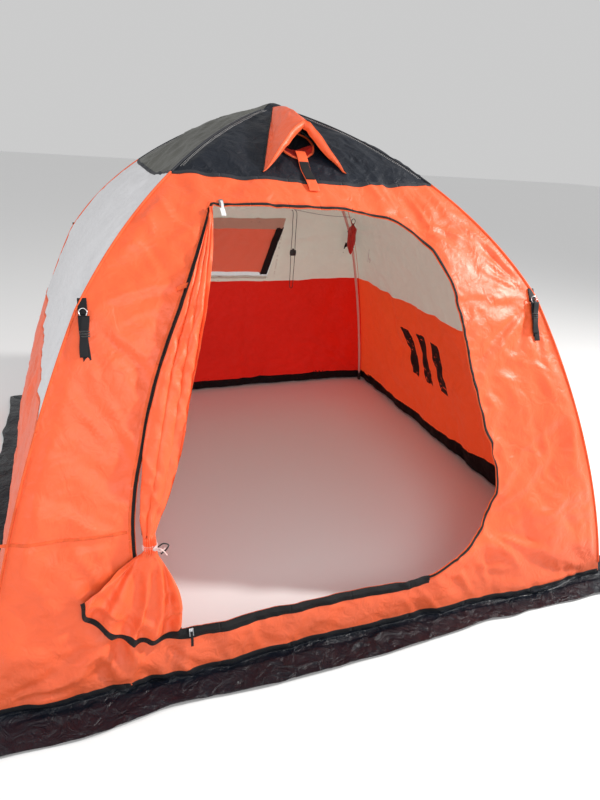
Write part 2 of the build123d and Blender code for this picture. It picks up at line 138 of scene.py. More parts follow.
def run_from_out(out):
    """Length up the wall where it stands that far from the centre line."""
    return np.interp(-out, -PROFILE[:, 0], RUN)


def curve(points, count, ends=None):
    """A smooth line through the points, evenly spaced along its length."""
    points = np.array(points, float)
    before = 2.0 * points[0] - points[1] if ends is None else points[0] - np.array(ends[0])
    after = 2.0 * points[-1] - points[-2] if ends is None else points[-1] + np.array(ends[1])
    framed = np.vstack([before, points, after])
    drawn = []
    t = np.linspace(0.0, 1.0, 24, endpoint=False)[:, None]
    for a, b, c, d in zip(framed, framed[1:], framed[2:], framed[3:]):
        drawn.append(b + 0.5 * t * (c - a + t * (2 * a - 5 * b + 4 * c - d + t * (3 * (b - c) + d - a))))
    drawn = np.vstack(drawn + [points[-1:]])
    run = cumulative(drawn)
    even = np.linspace(0.0, run[-1], count)
    return np.column_stack([np.interp(even, run, drawn[:, k]) for k in range(drawn.shape[1])])


def smooth(value):
    """Eases a value between 0 and 1, level at both ends."""
    value = np.clip(value, 0.0, 1.0)
    return value * value * (3.0 - 2.0 * value)


def noise(x, y, seed):
    """Smooth random values from -1 to 1."""
    table = np.random.default_rng(seed).uniform(-1.0, 1.0, (128, 128))
    x, y = np.broadcast_arrays(np.asarray(x, float), np.asarray(y, float))
    column = np.floor(x).astype(int)
    row = np.floor(y).astype(int)
    fx = smooth(x - column)
    fy = smooth(y - row)
    low = table[row % 128, column % 128] * (1 - fx) + table[row % 128, (column + 1) % 128] * fx
    high = (table[(row + 1) % 128, column % 128] * (1 - fx)
            + table[(row + 1) % 128, (column + 1) % 128] * fx)
    return low * (1 - fy) + high * fy


def ridged(x, y, seed, round_off=0.007):
    """Random values with long sharp crests, from about -1 to 1."""
    return 1.0 - 2.0 * np.sqrt(noise(x, y, seed) ** 2 + round_off)


def crumple(x, s, size, seed):
    """Creases of that spacing which wander and fork."""
    bent_x = x + 0.55 * size * noise(x / size * 0.6, s / size * 0.6, seed + 1)
    bent_s = s + 0.55 * size * noise(x / size * 0.6, s / size * 0.6, seed + 2)
    return ridged(bent_x / size, bent_s / size, seed)


def fan(x, s, at, reach, spokes, seed):
    """Tension creases that run out from a point and die away."""
    dx = x - at[0]
    ds = s - at[1]
    distance = np.hypot(dx, ds)
    angle = np.arctan2(ds, dx) + 0.16 * noise(x * 6.0, s * 6.0, seed + 5)
    crest = ridged(angle * spokes / math.pi + 31.0, distance * 2.2 + 7.0, seed, 0.02)
    return crest * smooth((distance - 0.03) / 0.15) * np.exp(-(distance / reach) ** 2)


# ---- The shape of the cloth ----

# Points that the cloth is pulled from: x, z, reach, number of creases, depth of the creases.
PULLS = {
    "all": [
        (-0.70, KNEE_Z, 0.38, 13, 0.0110), (0.70, KNEE_Z, 0.38, 13, 0.0110),
        (-0.99, 0.03, 0.52, 14, 0.0125), (0.99, 0.03, 0.52, 14, 0.0125),
        (0.0, APEX_Z, 0.30, 12, 0.0075),
        (-0.49, 1.277, 0.16, 9, 0.0040), (0.49, 1.277, 0.16, 9, 0.0040),
    ],
    "front": [
        (-0.33, 1.20, 0.30, 9, 0.0095), (0.27, 1.17, 0.26, 9, 0.0080), (-0.57, 0.42, 0.34, 11, 0.0120),
        (-0.60, 0.15, 0.36, 12, 0.0120), (0.46, 0.26, 0.38, 12, 0.0120), (-0.02, 1.36, 0.16, 8, 0.0045),
        (0.43, 0.75, 0.26, 8, 0.0070),
    ],
    "back": [(-0.30, 1.02, 0.16, 9, 0.0030), (0.30, 1.02, 0.16, 9, 0.0030)],
    "left": [(0.1, 0.70, 0.3, 10, 0.004)],
    "right": [(-0.1, 0.70, 0.3, 10, 0.004)],
}


def relief(side, x, s):
    """How far the cloth stands out from the even tensioned surface."""
    seed = SEEDS[side]
    out = width_at(s)
    height = height_at(s)
    slack = 0.55 + 0.45 * noise(x * 2.1 + 9.0, s * 2.1, seed + 60)
    low = 1.0 - smooth((height - 0.10) / 0.9)
    made = 0.0065 * noise(x * 2.6, s * 2.0, seed) + 0.0034 * noise(x * 5.5, s * 5.5, seed + 20)
    made = made + (0.0125 + 0.0070 * low) * slack * crumple(x, s * 0.45, 0.15, seed + 3)
    made = made + 0.0070 * slack * crumple(x * 1.3 + s * 0.5, s * 0.8, 0.080, seed + 7)
    made = made + 0.0024 * crumple(x + 0.4 * s, s, 0.042, seed + 13)
    if side == "front":
        creased = np.exp(-(((x + 0.70) / 0.17) ** 2 + ((s - 0.13) / 0.11) ** 2))
        made = made + 0.0140 * creased * crumple(x + s, x - s, 0.105, 931)
    for number, (at_x, at_z, reach, spokes, depth) in enumerate(PULLS["all"] + PULLS[side]):
        made = made + depth * fan(x, s, (at_x, run_at(at_z)), reach, spokes, seed + 17 * number)
    hub = np.exp(-(np.hypot(out, x) / 0.052) ** 4)
    fade = smooth((out - np.abs(x)) / 0.05)
    return np.clip(made, -0.022, 0.028) * fade * (1.0 - hub) + 0.012 * hub


def turned(points, side):
    """Points of the front wall, turned to stand on another side."""
    a = math.radians(TURN[side])
    x = points[..., 0] * math.cos(a) - points[..., 1] * math.sin(a)
    y = points[..., 0] * math.sin(a) + points[..., 1] * math.cos(a)
    return np.stack([x, y, points[..., 2]], axis=-1)


def on_wall(side, x, s, lift=0.0):
    """Points at x across a wall and s up it, lift outside the wrinkled cloth."""
    x, s, lift = np.broadcast_arrays(np.asarray(x, float), np.asarray(s, float), np.asarray(lift, float))
    out = width_at(s)
    z = height_at(s)
    away = np.interp(s, RUN, NORMAL[:, 0])
    up = np.interp(s, RUN, NORMAL[:, 1])
    height = relief(side, x, s) + lift
    return turned(np.stack([x, -(out + away * height), z + up * height], axis=-1), side)


def grid_normals(points):
    """Unit normals of a grid of points, on the side that faces away from columns crossed with rows."""
    along = np.gradient(points, axis=1)
    up = np.gradient(points, axis=0)
    normal = np.cross(along, up)
    return normal / np.maximum(np.linalg.norm(normal, axis=-1, keepdims=True), 1e-12)


def grid_faces(rows, columns):
    """Faces between the rows and columns of a grid of points."""
    corner = np.arange((rows - 1) * columns).reshape(rows - 1, columns)[:, :-1].ravel()
    return np.column_stack([corner, corner + 1, corner + columns + 1, corner + columns])


# ---- Meshes ----

def make_mesh(name, points, faces, skins, picks=None, uv=None, normals=None):
    """An object from points and faces. picks gives each face its material's number."""
    if name in frame["nodes"]:
        name += "_soft"
    mesh = bpy.data.meshes.new(name)
    mesh.from_pydata([tuple(p) for p in points], [], [tuple(int(i) for i in f) for f in faces])
    for skin in skins:
        mesh.materials.append(skin)
    if picks is not None:
        mesh.polygons.foreach_set("material_index", np.asarray(picks, np.int32))
    mesh.polygons.foreach_set("use_smooth", np.ones(len(mesh.polygons), bool))
    if uv is not None:
        corners = np.zeros(len(mesh.loops), np.int32)
        mesh.loops.foreach_get("vertex_index", corners)
        layer = mesh.uv_layers.new(name="cloth")
        layer.data.foreach_set("uv", np.asarray(uv, np.float32)[corners].ravel())
    mesh.update()
    if normals is not None:
        mesh.normals_split_custom_set_from_vertices([tuple(n) for n in normals])
    made = bpy.data.objects.new(name, mesh)
    bpy.context.scene.collection.objects.link(made)
    return made


def shell(name, points, normals, uv, faces, skins, thick=THICK):
    """A closed thin cloth: its outer skin, its inner skin and the rim that joins them."""
    used = np.unique(np.concatenate([np.ravel(f) for f in faces]))
    count = len(used)
    local = [[int(i) for i in np.searchsorted(used, f)] for f in faces]
    directed = set()
    for face in local:
        directed.update(zip(face, face[1:] + face[:1]))
    rim = [(b, a) for a, b in directed if (b, a) not in directed]
    rim.sort()
    outer = points[used]
    inner = outer - thick * normals[used]
    all_faces = list(local)
    all_faces += [[count + i for i in face[:1] + face[:0:-1]] for face in local]
    all_faces += [[a, b, count + b, count + a] for a, b in rim]
    picks = [0] * len(local) + [len(skins) - 1] * len(local) + [0] * len(rim)
    both = np.vstack([normals[used], -normals[used]])
    return make_mesh(name, np.vstack([outer, inner]), all_faces, skins, picks,
                     np.vstack([uv[used], uv[used]]), both)


def shell_from_grid(name, points, uv, skins, thick=THICK, flip=False):
    """A closed thin cloth from a grid of points."""
    normals = grid_normals(points)
    faces = grid_faces(*points.shape[:2])
    if flip:
        normals = -normals
        faces = faces[:, ::-1]
    return shell(name, points.reshape(-1, 3), normals.reshape(-1, 3), uv.reshape(-1, 2),
                 [list(f) for f in faces], skins, thick)


def ring_faces(steps, sides):
    """Faces of a closed solid whose points are rings, one after another."""
    faces = []
    for i in range(steps - 1):
        for j in range(sides):
            k = (j + 1) % sides
            faces.append((i * sides + j, i * sides + k, (i + 1) * sides + k, (i + 1) * sides + j))
    last = (steps - 1) * sides
    faces.append(tuple(range(sides))[::-1])
    faces.append(tuple(last + j for j in range(sides)))
    return faces


def tube_mesh(path, radius, sides=10):
    """Points and faces of a closed round tube along a path. radius is one number or one for each point."""
    path = np.asarray(path, float)
    radius = np.broadcast_to(np.asarray(radius, float), (len(path),))
    tangent = np.gradient(path, axis=0)
    tangent /= np.linalg.norm(tangent, axis=1)[:, None]
    side = np.cross(tangent[0], (0.0, 0.0, 1.0) if abs(tangent[0][2]) < 0.9 else (1.0, 0.0, 0.0))
    points = []
    angle = np.linspace(0.0, 2.0 * math.pi, sides, endpoint=False)[:, None]
    for here, along, r in zip(path, tangent, radius):
        side = side - along * (side @ along)
        side = side / np.linalg.norm(side)
        over = np.cross(along, side)
        points.append(here + r * (np.cos(angle) * side + np.sin(angle) * over))
    points = np.vstack(points)
    return points, ring_faces(len(path), sides)


def tube(name, path, radius, skin, sides=10):
    """A tube along a path, as a piece with one skin."""
    points, faces = tube_mesh(path, radius, sides)
    return make_mesh(name, points, faces, [skin])


def strap_mesh(path, across, width, thick):
    """Points and faces of a flat strap along a path; across is the direction of its width."""
    path = np.asarray(path, float)
    across = np.asarray(across, float) / np.linalg.norm(across)
    tangent = np.gradient(path, axis=0)
    tangent /= np.linalg.norm(tangent, axis=1)[:, None]
    over = np.cross(tangent, across)
    over /= np.linalg.norm(over, axis=1)[:, None]
    edge = 0.86
    section = ((-1, -edge), (-edge, -1), (edge, -1), (1, -edge),
               (1, edge), (edge, 1), (-edge, 1), (-1, edge))
    w = width / 2.0
    t = thick / 2.0
    points = np.vstack([[p + across * a * w + o * b * t for a, b in section] for p, o in zip(path, over)])
    sides = len(section)
    return points, ring_faces(len(path), sides)


def join(parts):
    """Several (points, faces) put together, with a material number for each face."""
    points = []
    faces = []
    picks = []
    start = 0
    for pick, (some, shapes) in parts:
        points.append(np.asarray(some, float))
        faces += [tuple(start + int(i) for i in face) for face in shapes]
        picks += [pick] * len(shapes)
        start += len(some)
    return np.vstack(points), faces, picks


def bevel(obj, width, segments=2):
    """Rounds an object's edges in its mesh."""
    modifier = obj.modifiers.new("round", "BEVEL")
    modifier.width = width
    modifier.segments = segments
    modifier.limit_method = "ANGLE"
    graph = bpy.context.evaluated_depsgraph_get()
    rounded = bpy.data.meshes.new_from_object(obj.evaluated_get(graph))
    obj.modifiers.clear()
    obj.data = rounded
    return obj


def box_mesh(centre, size, lean=Matrix.Identity(3)):
    """Points and faces of a box, turned by lean about its centre."""
    half = np.array(size, float) / 2.0
    signs = np.array([(x, y, z) for z in (-1, 1) for y in (-1, 1) for x in (-1, 1)], float)
    points = (signs * half) @ np.array(lean).T + np.array(centre, float)
    faces = [(0, 2, 3, 1), (4, 5, 7, 6), (0, 1, 5, 4), (2, 6, 7, 3), (0, 4, 6, 2), (1, 3, 7, 5)]
    return points, faces


# ---- Materials ----

def new_material(name):
    """A new material, its node tree and its Principled shader."""
    made = bpy.data.materials.new(name)
    made.use_nodes = True
    return made, made.node_tree, made.node_tree.nodes["Principled BSDF"]


def add(tree, kind, **inputs):
    """A shader node with some of its sockets set. Names use _ for a space."""
    node = tree.nodes.new(kind)
    for key, value in inputs.items():
        node.inputs[key.replace("_", " ")].default_value = value
    return node


def texture(tree, kind, where, **inputs):
    """A texture node placed by the coordinates where."""
    node = add(tree, kind, **inputs)
    tree.links.new(where, node.inputs["Vector"])
    return node


def mottled(tree, shader, colour, spread, scale, where):
    """A base colour that varies a little from place to place, in two sizes of patch."""
    wide = add(tree, "ShaderNodeTexNoise", Scale=scale, Detail=5.0, Roughness=0.6)
    fine = add(tree, "ShaderNodeTexNoise", Scale=scale * 14.0, Detail=3.0, Roughness=0.5)
    tree.links.new(where, wide.inputs["Vector"])
    tree.links.new(where, fine.inputs["Vector"])
    both = tree.nodes.new("ShaderNodeMath")
    both.operation = "MULTIPLY_ADD"
    both.inputs[1].default_value = 0.35
    tree.links.new(fine.outputs["Fac"], both.inputs[0])
    tree.links.new(wide.outputs["Fac"], both.inputs[2])
    ramp = tree.nodes.new("ShaderNodeValToRGB")
    ramp.color_ramp.elements[0].position = 0.42
    ramp.color_ramp.elements[1].position = 0.95
    ramp.color_ramp.elements[0].color = [c * (1.0 - spread) for c in colour] + [1.0]
    ramp.color_ramp.elements[1].color = [min(1.0, c * (1.0 + spread)) for c in colour] + [1.0]
    tree.links.new(both.outputs[0], ramp.inputs["Fac"])
    tree.links.new(ramp.outputs["Color"], shader.inputs["Base Color"])
    return ramp


def soiled(tree, shader, clean, dirt, top, where):
    """Dirt and frost marks that fade out with height."""
    height = tree.nodes.new("ShaderNodeSeparateXYZ")
    tree.links.new(where, height.inputs[0])
    share = add(tree, "ShaderNodeMapRange")
    share.inputs["From Min"].default_value = 0.0
    share.inputs["From Max"].default_value = top
    share.inputs["To Min"].default_value = 0.85
    share.inputs["To Max"].default_value = 0.0
    tree.links.new(height.outputs["Z"], share.inputs["Value"])
    blot = texture(tree, "ShaderNodeTexNoise", where, Scale=9.0, Detail=8.0, Roughness=0.7)
    amount = tree.nodes.new("ShaderNodeMath")
    amount.operation = "MULTIPLY"
    tree.links.new(share.outputs["Result"], amount.inputs[0])
    tree.links.new(blot.outputs["Fac"], amount.inputs[1])
    mix = tree.nodes.new("ShaderNodeMixRGB")
    mix.inputs["Color2"].default_value = dirt + (1.0,)
    tree.links.new(amount.outputs[0], mix.inputs["Fac"])
    tree.links.new(clean.outputs["Color"], mix.inputs["Color1"])
    tree.links.new(mix.outputs["Color"], shader.inputs["Base Color"])


def weave(tree, where, pitch):
    """Threads in both directions, as a height."""
    across = add(tree, "ShaderNodeTexWave", Scale=0.314 / pitch, Distortion=0.0)
    across.bands_direction = "X"
    along = add(tree, "ShaderNodeTexWave", Scale=0.314 / pitch, Distortion=0.0)
    along.bands_direction = "Y"
    tree.links.new(where, across.inputs["Vector"])
    tree.links.new(where, along.inputs["Vector"])
    mixed = tree.nodes.new("ShaderNodeMath")
    mixed.operation = "MAXIMUM"
    tree.links.new(across.outputs["Fac"], mixed.inputs[0])
    tree.links.new(along.outputs["Fac"], mixed.inputs[1])
    return mixed.outputs[0]


def bump(tree, height, distance, strength, before=None):
    """A bump node for a height, laid over an earlier one where there is one."""
    node = add(tree, "ShaderNodeBump", Strength=strength, Distance=distance)
    tree.links.new(height, node.inputs["Height"])
    if before is not None:
        tree.links.new(before, node.inputs["Normal"])
    return node.outputs["Normal"]


def cloth(name, colour, roughness=0.55, sheen=0.05, painted_glow=0.0, coat=0.0, crinkle=0.6, spread=0.10,
          dirt=None, dirt_top=0.3, gloss=0.5):
    """Coated woven cloth: plain weave, ripstop grid, crinkles, mottled colour, some dirt low down and a
    painted glow that stands in for light coming through the cloth.
    """
    made, tree, shader = new_material(name)
    place = tree.nodes.new("ShaderNodeTexCoord")
    where = place.outputs["Object"]
    ramp = mottled(tree, shader, colour, spread, 2.6, where)
    if dirt is not None:
        soiled(tree, shader, ramp, dirt, dirt_top, where)
    shader.inputs["Specular IOR Level"].default_value = gloss
    shader.inputs["Sheen Weight"].default_value = sheen
    shader.inputs["Sheen Roughness"].default_value = 0.45
    shader.inputs["Coat Weight"].default_value = coat
    shader.inputs["Coat Roughness"].default_value = 0.32
    # Painted glow: the cloth gives off its own colour as light, standing in for light that shines through
    # the thin cloth.
    if painted_glow:
        shader.inputs["Emission Color"].default_value = tuple(colour) + (1.0,)
        shader.inputs["Emission Strength"].default_value = painted_glow
    shine = texture(tree, "ShaderNodeTexNoise", where, Scale=18.0, Detail=4.0)
    rough = add(tree, "ShaderNodeMapRange")
    rough.inputs["To Min"].default_value = roughness - 0.10
    rough.inputs["To Max"].default_value = roughness + 0.10
    tree.links.new(shine.outputs["Fac"], rough.inputs["Value"])
    tree.links.new(rough.outputs["Result"], shader.inputs["Roughness"])
    folds = texture(tree, "ShaderNodeTexNoise", where, Scale=24.0, Detail=3.0, Roughness=0.45,
                    Distortion=1.4)
    cells = add(tree, "ShaderNodeTexVoronoi", Scale=26.0)
    cells.feature = "DISTANCE_TO_EDGE"
    tree.links.new(folds.outputs["Color"], cells.inputs["Vector"])
    threads = weave(tree, place.outputs["UV"], THREAD_PITCH)
    checks = weave(tree, place.outputs["UV"], RIPSTOP_PITCH)
    normal = bump(tree, folds.outputs["Fac"], 0.006, crinkle)
    normal = bump(tree, cells.outputs["Distance"], 0.0025, crinkle * 0.3, normal)
    normal = bump(tree, checks, 0.00012, 0.35, normal)
    normal = bump(tree, threads, 0.00010, 0.30, normal)
    tree.links.new(normal, shader.inputs["Normal"])
    return made


def tape(name, colour, rib=0.0016, roughness=0.6):
    """Woven tape or webbing with raised cross ribs and a fuzzy edge."""
    made, tree, shader = new_material(name)
    place = tree.nodes.new("ShaderNodeTexCoord")
    mottled(tree, shader, colour, 0.25, 30.0, place.outputs["Object"])
    shader.inputs["Roughness"].default_value = roughness
    shader.inputs["Specular IOR Level"].default_value = 0.25
    shader.inputs["Sheen Weight"].default_value = 0.04
    ribs = weave(tree, place.outputs["UV"], rib)
    fuzz = add(tree, "ShaderNodeTexNoise", Scale=900.0, Detail=2.0)
    tree.links.new(place.outputs["Object"], fuzz.inputs["Vector"])
    normal = bump(tree, ribs, 0.0004, 0.8)
    normal = bump(tree, fuzz.outputs["Fac"], 0.0003, 0.4, normal)
    tree.links.new(normal, shader.inputs["Normal"])
    return made


def braid(name, colour):
    """Braided cord: strands that cross on the slant."""
    made, tree, shader = new_material(name)
    place = tree.nodes.new("ShaderNodeTexCoord")
    mottled(tree, shader, colour, 0.2, 60.0, place.outputs["Object"])
    shader.inputs["Roughness"].default_value = 0.75
    shader.inputs["Sheen Weight"].default_value = 0.3
    strands = add(tree, "ShaderNodeTexWave", Scale=190.0, Distortion=2.0, Detail=1.0)
    strands.bands_direction = "DIAGONAL"
    tree.links.new(place.outputs["Object"], strands.inputs["Vector"])
    tree.links.new(bump(tree, strands.outputs["Fac"], 0.0005, 0.8), shader.inputs["Normal"])
    return made


def moulded(name, colour, roughness, grain=0.5, metallic=0.0, scale=420.0):
    """Moulded plastic, rubber or metal with a fine surface grain and scuffs."""
    made, tree, shader = new_material(name)
    place = tree.nodes.new("ShaderNodeTexCoord")
    where = place.outputs["Object"]
    mottled(tree, shader, colour, 0.18, 25.0, where)
    shader.inputs["Metallic"].default_value = metallic
    scuffs = texture(tree, "ShaderNodeTexNoise", where, Scale=65.0, Detail=7.0, Roughness=0.75,
                     Distortion=0.8)
    rough = add(tree, "ShaderNodeMapRange")
    rough.inputs["To Min"].default_value = max(0.05, roughness - 0.15)
    rough.inputs["To Max"].default_value = min(1.0, roughness + 0.15)
    tree.links.new(scuffs.outputs["Fac"], rough.inputs["Value"])
    tree.links.new(rough.outputs["Result"], shader.inputs["Roughness"])
    pits = texture(tree, "ShaderNodeTexNoise", where, Scale=scale, Detail=3.0)
    tree.links.new(bump(tree, pits.outputs["Fac"], 0.0003, grain), shader.inputs["Normal"])
    return made


def film(name):
    """Frosted flexible film with faint ripples and scratches."""
    made, tree, shader = new_material(name)
    place = tree.nodes.new("ShaderNodeTexCoord")
    where = place.outputs["Object"]
    mottled(tree, shader, (0.62, 0.52, 0.44), 0.06, 6.0, where)
    shader.inputs["Alpha"].default_value = 0.16
    shader.inputs["Roughness"].default_value = 0.22
    shader.inputs["Coat Weight"].default_value = 0.4
    ripples = texture(tree, "ShaderNodeTexNoise", where, Scale=11.0, Detail=2.0, Distortion=0.6)
    scratches = texture(tree, "ShaderNodeTexNoise", where, Scale=150.0, Detail=6.0, Distortion=3.0)
    normal = bump(tree, ripples.outputs["Fac"], 0.012, 0.5)
    normal = bump(tree, scratches.outputs["Fac"], 0.0004, 0.3, normal)
    tree.links.new(normal, shader.inputs["Normal"])
    return made


DIRT = (0.30, 0.10, 0.050)
ORANGE = cloth("orange_outer", (0.92, 0.120, 0.030), roughness=0.46, coat=0.06, dirt=DIRT, dirt_top=0.20)
# These inner cloths and hems carry a painted glow, standing in for light that shines through the cloth into
# the tent.
ORANGE_INNER = cloth("orange_inner", (0.68, 0.010, 0.002), painted_glow=0.20, roughness=0.6, crinkle=0.5)
# A lighter copy of the inner orange with more painted glow: painted light for the inner cloth where the
# light shines through.
ORANGE_LIT = cloth("orange_inner_lit", (0.82, 0.085, 0.018), painted_glow=0.30, roughness=0.6, crinkle=0.5)
ORANGE_LINING = cloth("orange_lining", (0.36, 0.014, 0.008), painted_glow=0.03, roughness=0.6, crinkle=0.7)
WHITE = cloth("white_outer", (0.66, 0.655, 0.67), roughness=0.5, coat=0.05, crinkle=0.55, spread=0.05)
WHITE_INNER = cloth("white_inner", (0.60, 0.65, 0.56), painted_glow=0.27, roughness=0.6, crinkle=0.5, spread=0.06)
WINDOW_HEM = cloth("window_hem", (0.50, 0.31, 0.23), painted_glow=0.12, roughness=0.6, crinkle=0.5)
BLACK = cloth("black_outer", (0.004, 0.007, 0.014), roughness=0.56, coat=0.02, sheen=0.0, crinkle=1.2,
              spread=0.3, gloss=0.30)
# The left roof panel is the same black cloth, painted lighter grey here as painted light: it stands for the
# light that falls on that side.
GREY = cloth("roof_left_outer", (0.070, 0.070, 0.058), roughness=0.5, coat=0.08, sheen=0.0, crinkle=0.8,
             spread=0.2)
BLACK_INNER = cloth("black_inner", (0.005, 0.005, 0.007), roughness=0.6, sheen=0.0, crinkle=0.8, spread=0.2,
                    gloss=0.2)
SKIRT = cloth("skirt_outer", (0.003, 0.005, 0.010), roughness=0.30, coat=0.10, sheen=0.0, crinkle=1.4,
              spread=0.3, gloss=0.35)
RED = cloth("red_cloth", (0.58, 0.016, 0.008), roughness=0.55, crinkle=0.8, spread=0.12)
# Painted glow on the sleeves, for light coming through the cloth.
SLEEVE = cloth("pole_sleeve", (0.72, 0.42, 0.37), roughness=0.6, painted_glow=0.05, crinkle=0.6)
WEBBING = tape("webbing", (0.006, 0.006, 0.008))
ZIP_TAPE = tape("zip_tape", (0.004, 0.004, 0.005), rib=0.0011)
SEAM_ORANGE = tape("seam_orange", (0.82, 0.115, 0.032), rib=0.003)
SEAM_BLACK = tape("seam_black", (0.022, 0.024, 0.030), rib=0.003)
SEAM_WHITE = tape("seam_white", (0.56, 0.54, 0.53), rib=0.003)
HOOK_LOOP = tape("hook_and_loop", (0.012, 0.012, 0.013), rib=0.0022, roughness=0.9)
CORD_LIGHT = braid("cord_light", (0.78, 0.55, 0.52))
CORD_BLACK = braid("cord_black", (0.014, 0.014, 0.015))
CORD_GREY = braid("cord_grey", (0.25, 0.25, 0.26))
PLASTIC = moulded("black_plastic", (0.018, 0.018, 0.020), 0.42)
HUB_PLASTIC = moulded("hub_plastic", (0.030, 0.031, 0.034), 0.48, grain=0.7)
SOCKET_PLASTIC = moulded("socket_plastic", (0.030, 0.031, 0.034), 0.45, grain=0.6)
POLE = moulded("pole_fibreglass", (0.34, 0.30, 0.29), 0.30, grain=0.2, scale=180.0)
STEEL = moulded("steel", (0.62, 0.62, 0.63), 0.30, grain=0.15, metallic=1.0)
ZIP_METAL = moulded("zip_metal", (0.42, 0.42, 0.43), 0.34, grain=0.2, metallic=1.0)
RUBBER = moulded("rubber_tip", (0.020, 0.020, 0.020), 0.75, grain=0.9, scale=300.0)
FILM = film("clear_film")
LABEL = tape("blank_label", (0.80, 0.80, 0.79), rib=0.0009)


# ---- How pieces go with the frame ----

def fix_to(obj, body, nodes=()):
    """Lets a piece ride on a body, and hides the CAD parts that it stands in for."""
    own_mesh(obj)
    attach(obj, body)
    if nodes:
        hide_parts(*nodes)
    return obj


def sector_of(x, s):
    """Which sector of its side each point is in."""
    out = np.maximum(width_at(s), 1e-6)
    angle = np.degrees(np.arctan2(x, out)) + 45.0
    return np.clip((angle / (90.0 / SECTORS)).astype(int), 0, SECTORS - 1)


def sector_runs(places):
    """Start and stop of each run of places in one sector. A run shares a step with the next one."""
    runs = []
    start = 0
    for end in range(1, len(places) + 1):
        if end == len(places) or places[end] != places[start]:
            stop = min(end + 1, len(places))
            if stop - start >= 2:
                runs.append((start, stop))
            start = end
    return runs


# ---- The canopy ----

def door_line():
    """The door opening's edge, as x and length up the wall, anticlockwise from the sill's left end."""
    left = curve(DOOR_LEFT[::-1], 260, ends=((0.05, 0.12), (0.06, 0.0)))
    right = curve(DOOR_RIGHT[::-1], 260, ends=((0.09, 0.0), (-0.1, 0.0)))
    head = np.linspace(DOOR_RIGHT[0], DOOR_LEFT[-1], 90)[1:-1]
    sill = np.linspace(DOOR_LEFT[0], DOOR_RIGHT[-1], 150)[1:-1]
    line = np.vstack([sill, right, head, left])
    return np.column_stack([line[:, 0], run_at(line[:, 1])])


def window_line(side_gap=0.0):
    """The window opening's edge on the back wall."""
    wide = 0.290 + side_gap
    low = 0.722 - side_gap
    high = 1.010 + side_gap
    corners = ((-wide, low), (wide, low), (wide, high), (-wide, high), (-wide, low))
    line = np.vstack([np.linspace(a, b, 60)[:-1] for a, b in zip(corners, corners[1:])])
    return np.column_stack([line[:, 0], run_at(line[:, 1])])


def vent_line():
    """The vent hole's edge in the front roof panel: a circle seen from above."""
    a = np.linspace(0.0, 2.0 * math.pi, 120, endpoint=False)
    x = VENT_X + VENT_R * np.cos(a)
    out = VENT_OUT + VENT_R * np.sin(a)
    return np.column_stack([x, run_from_out(out)])


def inside(x, s, line):
    """Whether points are inside a closed line."""
    hit = np.zeros(x.shape, bool)
    for (x0, s0), (x1, s1) in zip(line, np.roll(line, -1, axis=0)):
        if s0 != s1:
            hit ^= ((s0 > s) != (s1 > s)) & (x < (x1 - x0) * (s - s0) / (s1 - s0) + x0)
    return hit


def cut_hole(x, s, line, reach):
    """Moves grid points near a hole's edge on to it. Returns the points and which ones fall in the hole."""
    x = x.copy()
    s = s.copy()
    low = line.min(0) - 2.0 * reach
    high = line.max(0) + 2.0 * reach
    near = np.flatnonzero((x > low[0]) & (x < high[0]) & (s > low[1]) & (s < high[1]))
    snapped = np.zeros(len(x), bool)
    for part in np.array_split(near, max(1, len(near) // 4000)):
        apart = np.hypot(x[part][:, None] - line[:, 0], s[part][:, None] - line[:, 1])
        best = apart.argmin(axis=1)
        close = apart[np.arange(len(part)), best] < reach
        x[part[close]] = line[best[close], 0]
        s[part[close]] = line[best[close], 1]
        snapped[part[close]] = True
    gone = inside(x, s, line) & ~snapped
    return x, s, gone, snapped


def hem_run(side, u):
    """Length up the wall at the wall's hem. The inside black band rises towards the front on the right."""
    if side == "front":
        return run_at(FRONT_HEM_Z) + 0.0 * u
    if side == "right":
        return run_at(HEM_Z + 0.11 * smooth((0.2 - u) / 1.2))
    return run_at(HEM_Z) + 0.0 * u


def canopy_rows(side, u, pitch):
    """Length up the wall of each grid point, and the row numbers where the panels meet."""
    sag = SEAM_SAG * (1.0 - u ** 2)
    wave = 0.003 * noise(u * 4.0, 0.5 + 0.0 * u, SEEDS[side] + 90)
    levels = [hem_run(side, u)]
    if side != "front":
        levels.append(run_at(COLOUR_SEAM_Z) - 0.010 * (1.0 - u ** 2) + wave * (1.0 - u ** 2))
    levels.append(run_at(ROOF_SEAM_Z) - sag + wave * (1.0 - u ** 2))
    levels.append(RUN[-1] - 0.004 + 0.0 * u)
    rows = []
    marks = [0]
    for low, high in zip(levels, levels[1:]):
        count = int(round(float((high - low).max()) / pitch))
        t = np.linspace(0.0, 1.0, count + 1)[:, None]
        part = low + (high - low) * t
        rows.append(part if not rows else part[1:])
        marks.append(marks[-1] + count)
    return np.vstack(rows), marks


def canopy_columns(per_sector):
    """Places across a side, -1 at one rib to 1 at the other. Its sectors span equal angles."""
    edges = np.tan(np.radians(np.linspace(-45.0, 45.0, SECTORS + 1)))
    u = np.concatenate([np.linspace(a, b, per_sector + 1)[:-1] for a, b in zip(edges, edges[1:])])
    return np.append(u, 1.0)


def panel_names(side):
    """Each panel's name, outer and inner cloth, record slot and CAD node, from the hem up."""
    # The left roof panel gets the grey cloth, with painted light on it.
    roof_skin = GREY if side == "left" else BLACK
    roof = ("roof_%s" % side, roof_skin, BLACK_INNER, "black_cloth", "roof_%s" % side)
    if side == "front":
        return [("wall_front", ORANGE, ORANGE_INNER, "orange_cloth", "wall_front"), roof]
    lower = "wall_%s_lower" % side
    upper = "wall_%s_upper" % side
    # The right wall's inner side gets the copy with painted light on it.
    lining = ORANGE_LIT if side == "right" else ORANGE_INNER
    return [(lower, ORANGE, lining, "orange_cloth", lower),
            (upper, WHITE, WHITE_INNER, "white_cloth", upper), roof]


